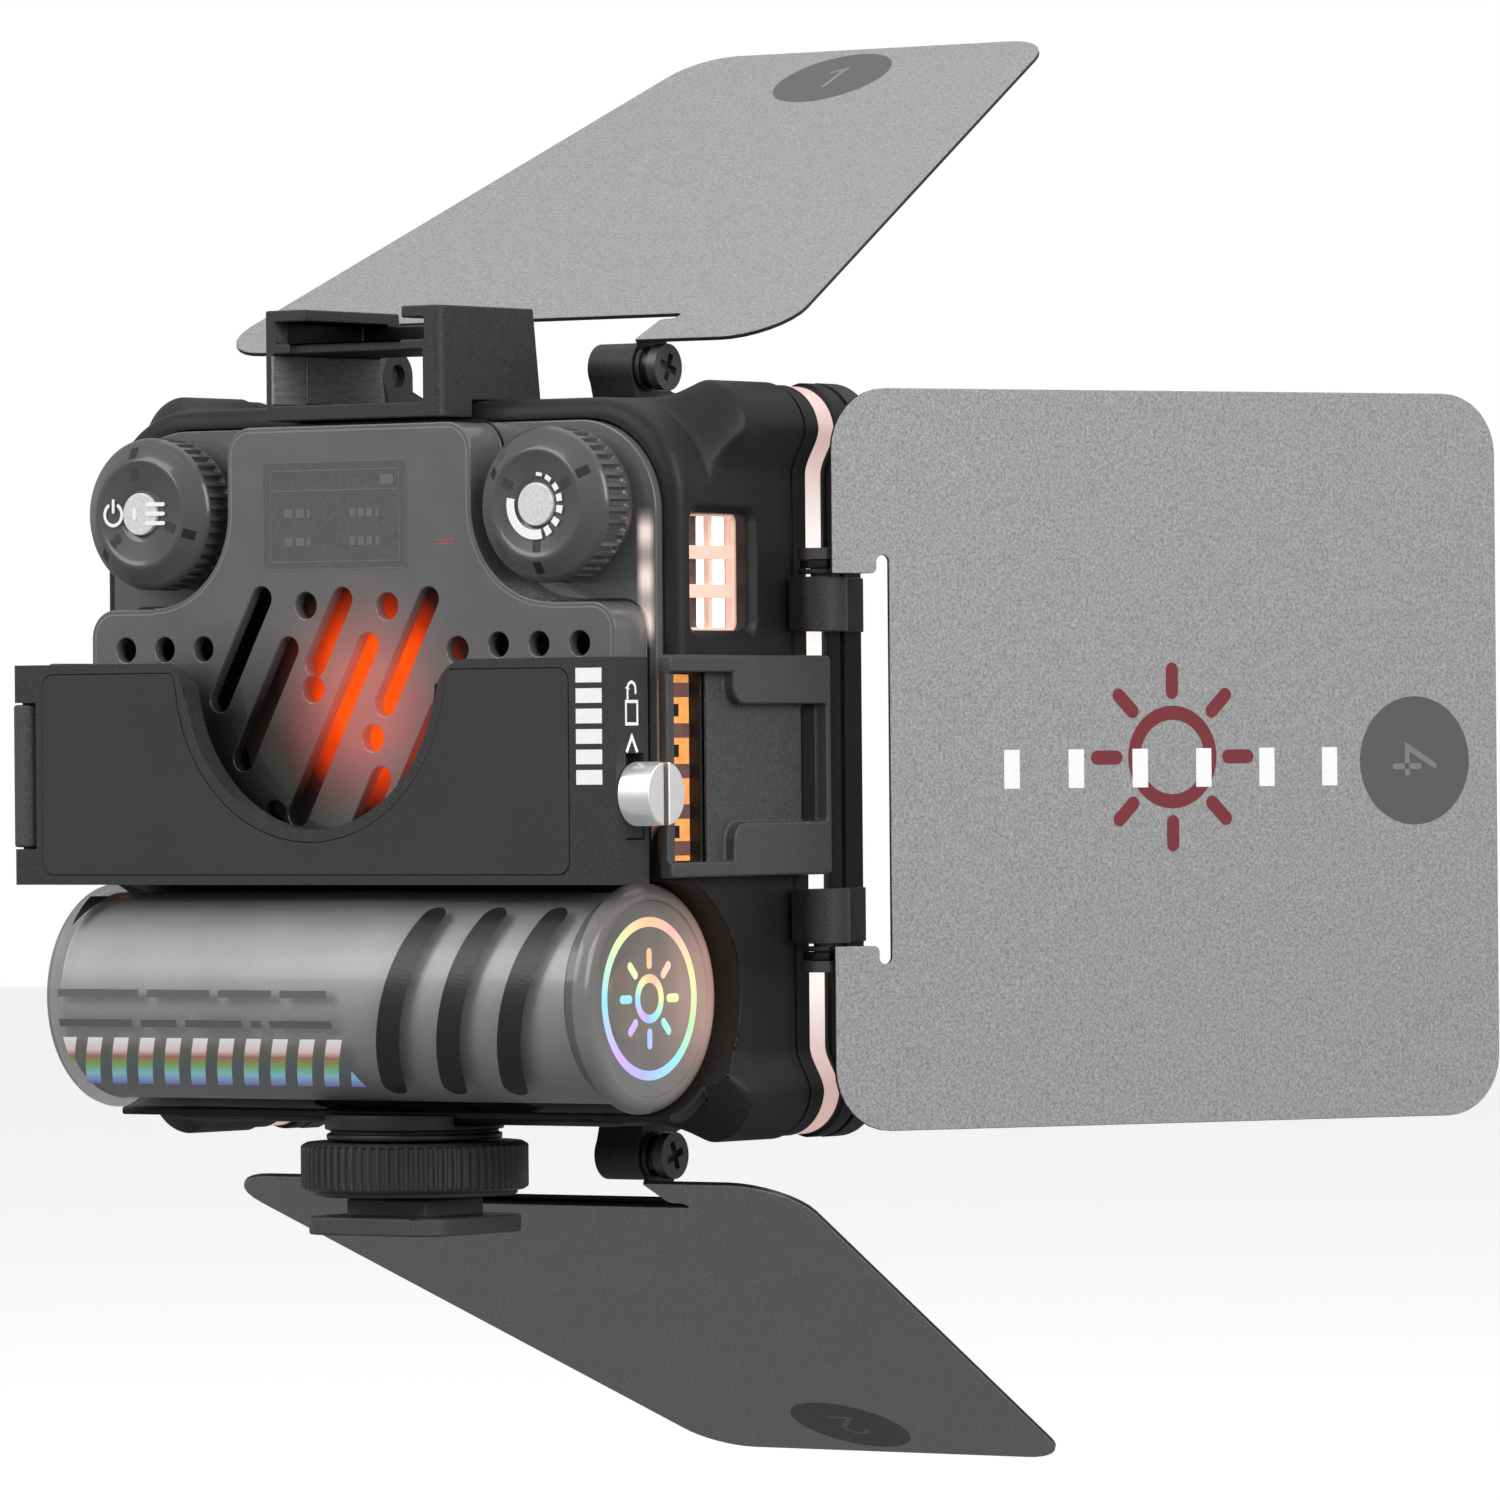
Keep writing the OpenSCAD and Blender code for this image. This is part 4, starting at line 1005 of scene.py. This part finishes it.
def cap_mark():
    """A spectrum ring with a small sun inside it, on the end cap, given a painted glow."""
    cap = edges_of("tube_cap")
    wall = on_wall("x", cap[1].x - 0.42, 1)

    def place(u, v, lift=0.0):
        return wall(TUBE_Y + u, TUBE_Z + v, lift)

    bm = bmesh.new()
    strip(bm, circle(0, 0, 7.95, 96), 1.0, place, closed=True)
    sun(bm, 0, 2.1, 3.5, 4.8, 0.9, place, 48)
    material, shader, points = new_material("spectrum ring")
    hub = place(0, 0)
    turn = arithmetic("ARCTAN2", coordinate(points, "Z", hub.z), coordinate(points, "Y", hub.y))
    part = remap(turn, 0, 1, -math.pi, math.pi)
    stops = [(0.0, (0.30, 0.70, 0.80)), (0.13, (0.62, 0.40, 0.90)), (0.22, (0.42, 0.45, 0.95)),
             (0.34, (0.30, 0.75, 0.80)), (0.45, (0.55, 0.85, 0.45)), (0.54, (0.90, 0.85, 0.40)),
             (0.66, (0.95, 0.50, 0.45)), (0.76, (0.95, 0.55, 0.30)), (0.88, (0.70, 0.88, 0.45)),
             (1.0, (0.30, 0.70, 0.80))]
    shade = colour_ramp(part, stops)
    wire(shader, {"Base Color": shade, "Emission Color": shade, "Emission Strength": 0.5, "Roughness": 0.3})
    finish_mesh("cap_spectrum_ring", bm, "light", "cap_clear", material)


cap_mark()


# ---- light and colour behind the smoke cover ----

def fan_glow():
    """The warm glow in front of the fan, fading to dark on its left."""
    bm = bmesh.new()
    level_y = -25.25
    centre_z = (FAN[0].z + FAN[1].z) / 2
    patch(bm, circle(0, centre_z, 15.6, 64), on_wall("y", level_y))
    material, shader, points = new_material("fan glow")
    uneven = remap(noise(points, 7, 2), -0.2, 0.2)
    near = remap(distance_from(points, spot(2.5, level_y, centre_z + 1)), 1, 0, 5, 13.5)
    level = arithmetic("ADD", near, product(uneven, near))
    stops = [(0.0, (0.004, 0.003, 0.003)), (0.18, (0.03, 0.006, 0.003)), (0.45, (0.35, 0.022, 0.004)),
             (0.75, (0.92, 0.06, 0.003)), (1.0, (1.0, 0.095, 0.005))]
    shade = colour_ramp(level, stops)
    wire(shader, {"Base Color": (0.01, 0.004, 0.002), "Specular IOR Level": 0.1, "Roughness": 0.5,
                  "Emission Color": shade, "Emission Strength": 1.0})
    finish_mesh("fan_glow", bm, "light", "fan_black", material)


fan_glow()

bm = bmesh.new()
place = on_wall("x", 34.66, 1)
patch(bm, rounded_loop(-12.9, 13.8, -7.8, 25.6, 0.4), place)
window_glow = finish_mesh("side_window_glow", bm, "light", "grille_glow", WINDOW_GLOW)
window_glow.visible_diffuse = False
bm = bmesh.new()
patch(bm, rectangle(-18.0, 12.8, -12.9, 26.8), place)
finish_mesh("side_window_corner", bm, "light", "grille_glow", WINDOW_DARK)

# The fins seen through the air vents, as painted light and shade: lit cells, each with a dark notch, between
# shaded bars.
VENT_BARS = [7.4 - 4.2 * i for i in range(4)] + [-9.0]
for side in (1, -1):
    place = on_wall("x", 36.5 * side, side)
    name = "right" if side > 0 else "left"
    lit, bars, notches = bmesh.new(), bmesh.new(), bmesh.new()
    low_y, high_y = VENT[0] + 0.6, VENT[2] - 0.05
    patch(lit, rectangle(side * low_y, -10.3, side * high_y, 9.0), place)
    for z in VENT_BARS:
        strip(bars, [(side * low_y, z), (side * high_y, z)], 1.5, place, rounded=False, lift=0.06)
        if z > -9:
            strip(notches, [(side * low_y, z - 2.1), (side * (low_y + 2.5), z - 2.1)], 1.3, place,
                  rounded=False, lift=0.05)
    for part, bm, material in (("lit", lit, VENT_GLOW), ("bars", bars, VENT_BAR),
                               ("notches", notches, BLACK_PART_AND_SHADE)):
        finish_mesh(name + "_vent_" + part, bm, "light", SLOTS["heat_sink"], material)


# ---- the smoke cover's edges, screen and reflections ----

COVER_FACE = edges_of("rear_cover")[0].y
WELL_FACE = edges_of("rear_housing")[0].y - 1.0    # floor of the wells round the knobs


def face_outline(node):
    """The outline (u, v) of a node's rearmost flat face, in order round it."""
    bm = bmesh.new()
    bm.from_mesh(NODES[node].data)
    bmesh.ops.remove_doubles(bm, verts=bm.verts, dist=2e-6)
    level = min(vert.co.y for vert in bm.verts) + 0.01 * MM
    flat = {face for face in bm.faces if all(vert.co.y < level for vert in face.verts)}
    rim = {edge for edge in bm.edges if sum(face in flat for face in edge.link_faces) == 1}
    longest = []
    while rim:
        edge = min(rim, key=lambda e: min((v.co.x, v.co.z) for v in e.verts))
        vert = edge.verts[0]
        loop = []
        while edge:
            rim.discard(edge)
            loop.append(((vert.co.x - CENTRE.x) / MM, (vert.co.z - CENTRE.z) / MM))
            vert = edge.other_vert(vert)
            edge = next((e for e in vert.link_edges if e in rim), None)
        wide = max(u for u, v in loop) - min(u for u, v in loop)
        if not longest or wide > longest[0]:
            longest = [wide, loop]
    bm.free()
    return longest[1]


def inset(loop, distance):
    """The loop moved inwards by a distance."""
    points = [Vector(p) for i, p in enumerate(loop) if (Vector(p) - Vector(loop[i - 1])).length > 0.02]
    area = sum(a.x * b.y - b.x * a.y for a, b in zip(points, points[1:] + points[:1]))
    sign = 1 if area > 0 else -1
    moved = []
    for i, point in enumerate(points):
        along = (points[(i + 1) % len(points)] - points[i - 1]).normalized()
        moved.append(point + Vector((-along.y, along.x)) * (distance * sign))
    return moved


# Painted highlight and painted shade round the cover: a light line just inside its edge, and a dark line on
# the wells' floor just outside it.
panel_edge = face_outline("rear_cover")
for part, gap, width, level, material in (("light", 0.55, 0.16, COVER_FACE, EDGE_HIGHLIGHT),
                                          ("dark", -0.22, 0.35, WELL_FACE, EDGE_SHADE)):
    bm = bmesh.new()
    strip(bm, inset(panel_edge, gap), width, on_wall("y", level), closed=True)
    finish_mesh("painted_cover_edge_" + part, bm, "light", SLOTS["rear_cover"], material)

screen = rounded_loop(-11.2, 20.5, 7.6, 31.8, 0.5)
bm = bmesh.new()
place = on_wall("y", COVER_FACE)
patch(bm, screen, place)
finish_mesh("screen_field", bm, "light", "display_glass", SCREEN_FIELD)
bm = bmesh.new()
strip(bm, screen, 0.14, place, closed=True, lift=0.04)
strip(bm, rounded_loop(-10.2, 21.3, 6.7, 30.9, 0.3), 0.14, place, closed=True, lift=0.04)
strip(bm, [(-10.0, 28.8), (6.5, 28.8)], 0.14, place, lift=0.04)
patch(bm, rounded_loop(4.2, 29.3, 6.0, 30.3, 0.25, 3), place, lift=0.04)
for v in (23.4, 26.4):
    for u, wide in ((-8.4, 1.1), (-6.9, 1.1), (-5.4, 0.4), (0.2, 0.8), (1.3, 0.8), (2.4, 0.8), (3.6, 0.5)):
        strip(bm, [(u, v), (u + wide, v)], 0.9, place, rounded=False, lift=0.04)
finish_mesh("screen_marks", bm, "light", "display_glass", SCREEN_INK)
bm = bmesh.new()
for v in (23.3, 22.9):
    strip(bm, [(11.5, v), (13.8, v)], 0.2, place)
finish_mesh("cover_glints", bm, "light", SLOTS["rear_cover"], GLINT)


def rim_glow():
    """The side light's soft reflection in the cover's right rim, three bright spots one above another."""
    bm = bmesh.new()
    middle_u = 34.4
    patch(bm, rectangle(middle_u - 1.3, 11.5, middle_u + 1.1, 26.5), on_wall("y", WELL_FACE), 0.5)
    material, shader, points = new_material("rim glow")
    centre = spot(middle_u, 0, 19.0)
    sideways = arithmetic("ABSOLUTE", coordinate(points, "X", centre.x))
    across = remap(sideways, 1, 0, 0.0004, 0.0012)
    height = coordinate(points, "Z", centre.z)
    ends = remap(arithmetic("ABSOLUTE", height), 1, 0, 0.0052, 0.0074)
    wave = arithmetic("COSINE", product(height, 2 * math.pi / 0.0048))
    spots = remap(wave, 0.35, 1, -1, 1)
    wire(shader, {"Alpha": product(across, ends, spots), "Base Color": (0.5, 0.42, 0.4),
                  "Emission Color": (1.0, 0.80, 0.75), "Emission Strength": 0.75,
                  "Roughness": remap(noise(points, 2), 0.3, 0.5)})
    finish_mesh("rim_glow", bm, "light", SLOTS["rear_cover"], material)


rim_glow()


# ---- studio ----

def photo_camera():
    """A long lens, level with the light and 35 degrees round to its right rear."""
    turn, tilt, roll = (math.radians(a) for a in (34.98, -0.01, -0.49))
    place = Vector((26.46, 1.35, 1133.1)) * MM    # across, up and away from the light's own origin
    camera = bpy.data.objects.new("camera", bpy.data.cameras.new("camera"))
    camera.data.sensor_width = 36
    camera.data.lens = 254.18
    camera.data.clip_start = 0.01
    camera.matrix_world = (Matrix.Translation(CENTRE) @ Matrix.Rotation(turn, 4, "Z")
                           @ Matrix.Rotation(math.pi / 2 - tilt, 4, "X") @ Matrix.Rotation(roll, 4, "Z")
                           @ Matrix.Translation(place))
    bpy.context.scene.collection.objects.link(camera)
    bpy.context.scene.camera = camera


def softbox(name, place, size, power, aim=(0, 0, 0)):
    """A square area light at a place in millimetres from the light's origin, aimed at another."""
    lamp = bpy.data.lights.new(name, "AREA")
    lamp.size = size
    lamp.energy = power
    holder = bpy.data.objects.new(name, lamp)
    holder.location = spot(*place)
    holder.rotation_euler = (spot(*aim) - spot(*place)).to_track_quat("-Z", "Y").to_euler()
    bpy.context.scene.collection.objects.link(holder)


def surround():
    """White as seen, and a softer light that comes mostly from above."""
    world = bpy.data.worlds.new("surround")
    world.use_nodes = True
    tree = world.node_tree
    height = coordinate(tree.nodes.new("ShaderNodeTexCoord").outputs["Generated"], "Z")
    stops = [(place, [grey] * 3) for place, grey in ((0.0, 0.15), (0.42, 0.30), (0.58, 0.50), (1.0, 0.62))]
    soft = colour_ramp(remap(height, 0, 1, -1, 1), stops)
    camera_ray = tree.nodes.new("ShaderNodeLightPath").outputs["Is Camera Ray"]
    seen = blend_colours(camera_ray, soft, (1, 1, 1))
    wire(tree.nodes["Background"], {"Color": seen})
    bpy.context.scene.world = world


def studio():
    """A pale floor below the lowest leaf, a white surround and soft lights."""
    bm = bmesh.new()
    bmesh.ops.create_grid(bm, x_segments=2, y_segments=2, size=4)
    floor = new_object("floor", bm)
    floor.location = (0, 0, -0.085)
    material, shader = new_material("pale floor")[:2]
    wire(shader, {"Base Color": (0.92, 0.92, 0.92), "Roughness": 0.7, "Emission Color": (1, 1, 1),
                  "Emission Strength": 0.35})
    floor.data.materials.append(material)
    floor.visible_diffuse = False
    floor.visible_glossy = False
    surround()
    softbox("key light", (-500, -1000, 700), 0.8, 6.5)
    softbox("side light", (1200, -300, 500), 0.8, 8.5)
    softbox("top light", (0, 200, 1100), 1.2, 2.5)
    bpy.context.scene.view_settings.view_transform = "Standard"


photo_camera()
studio()
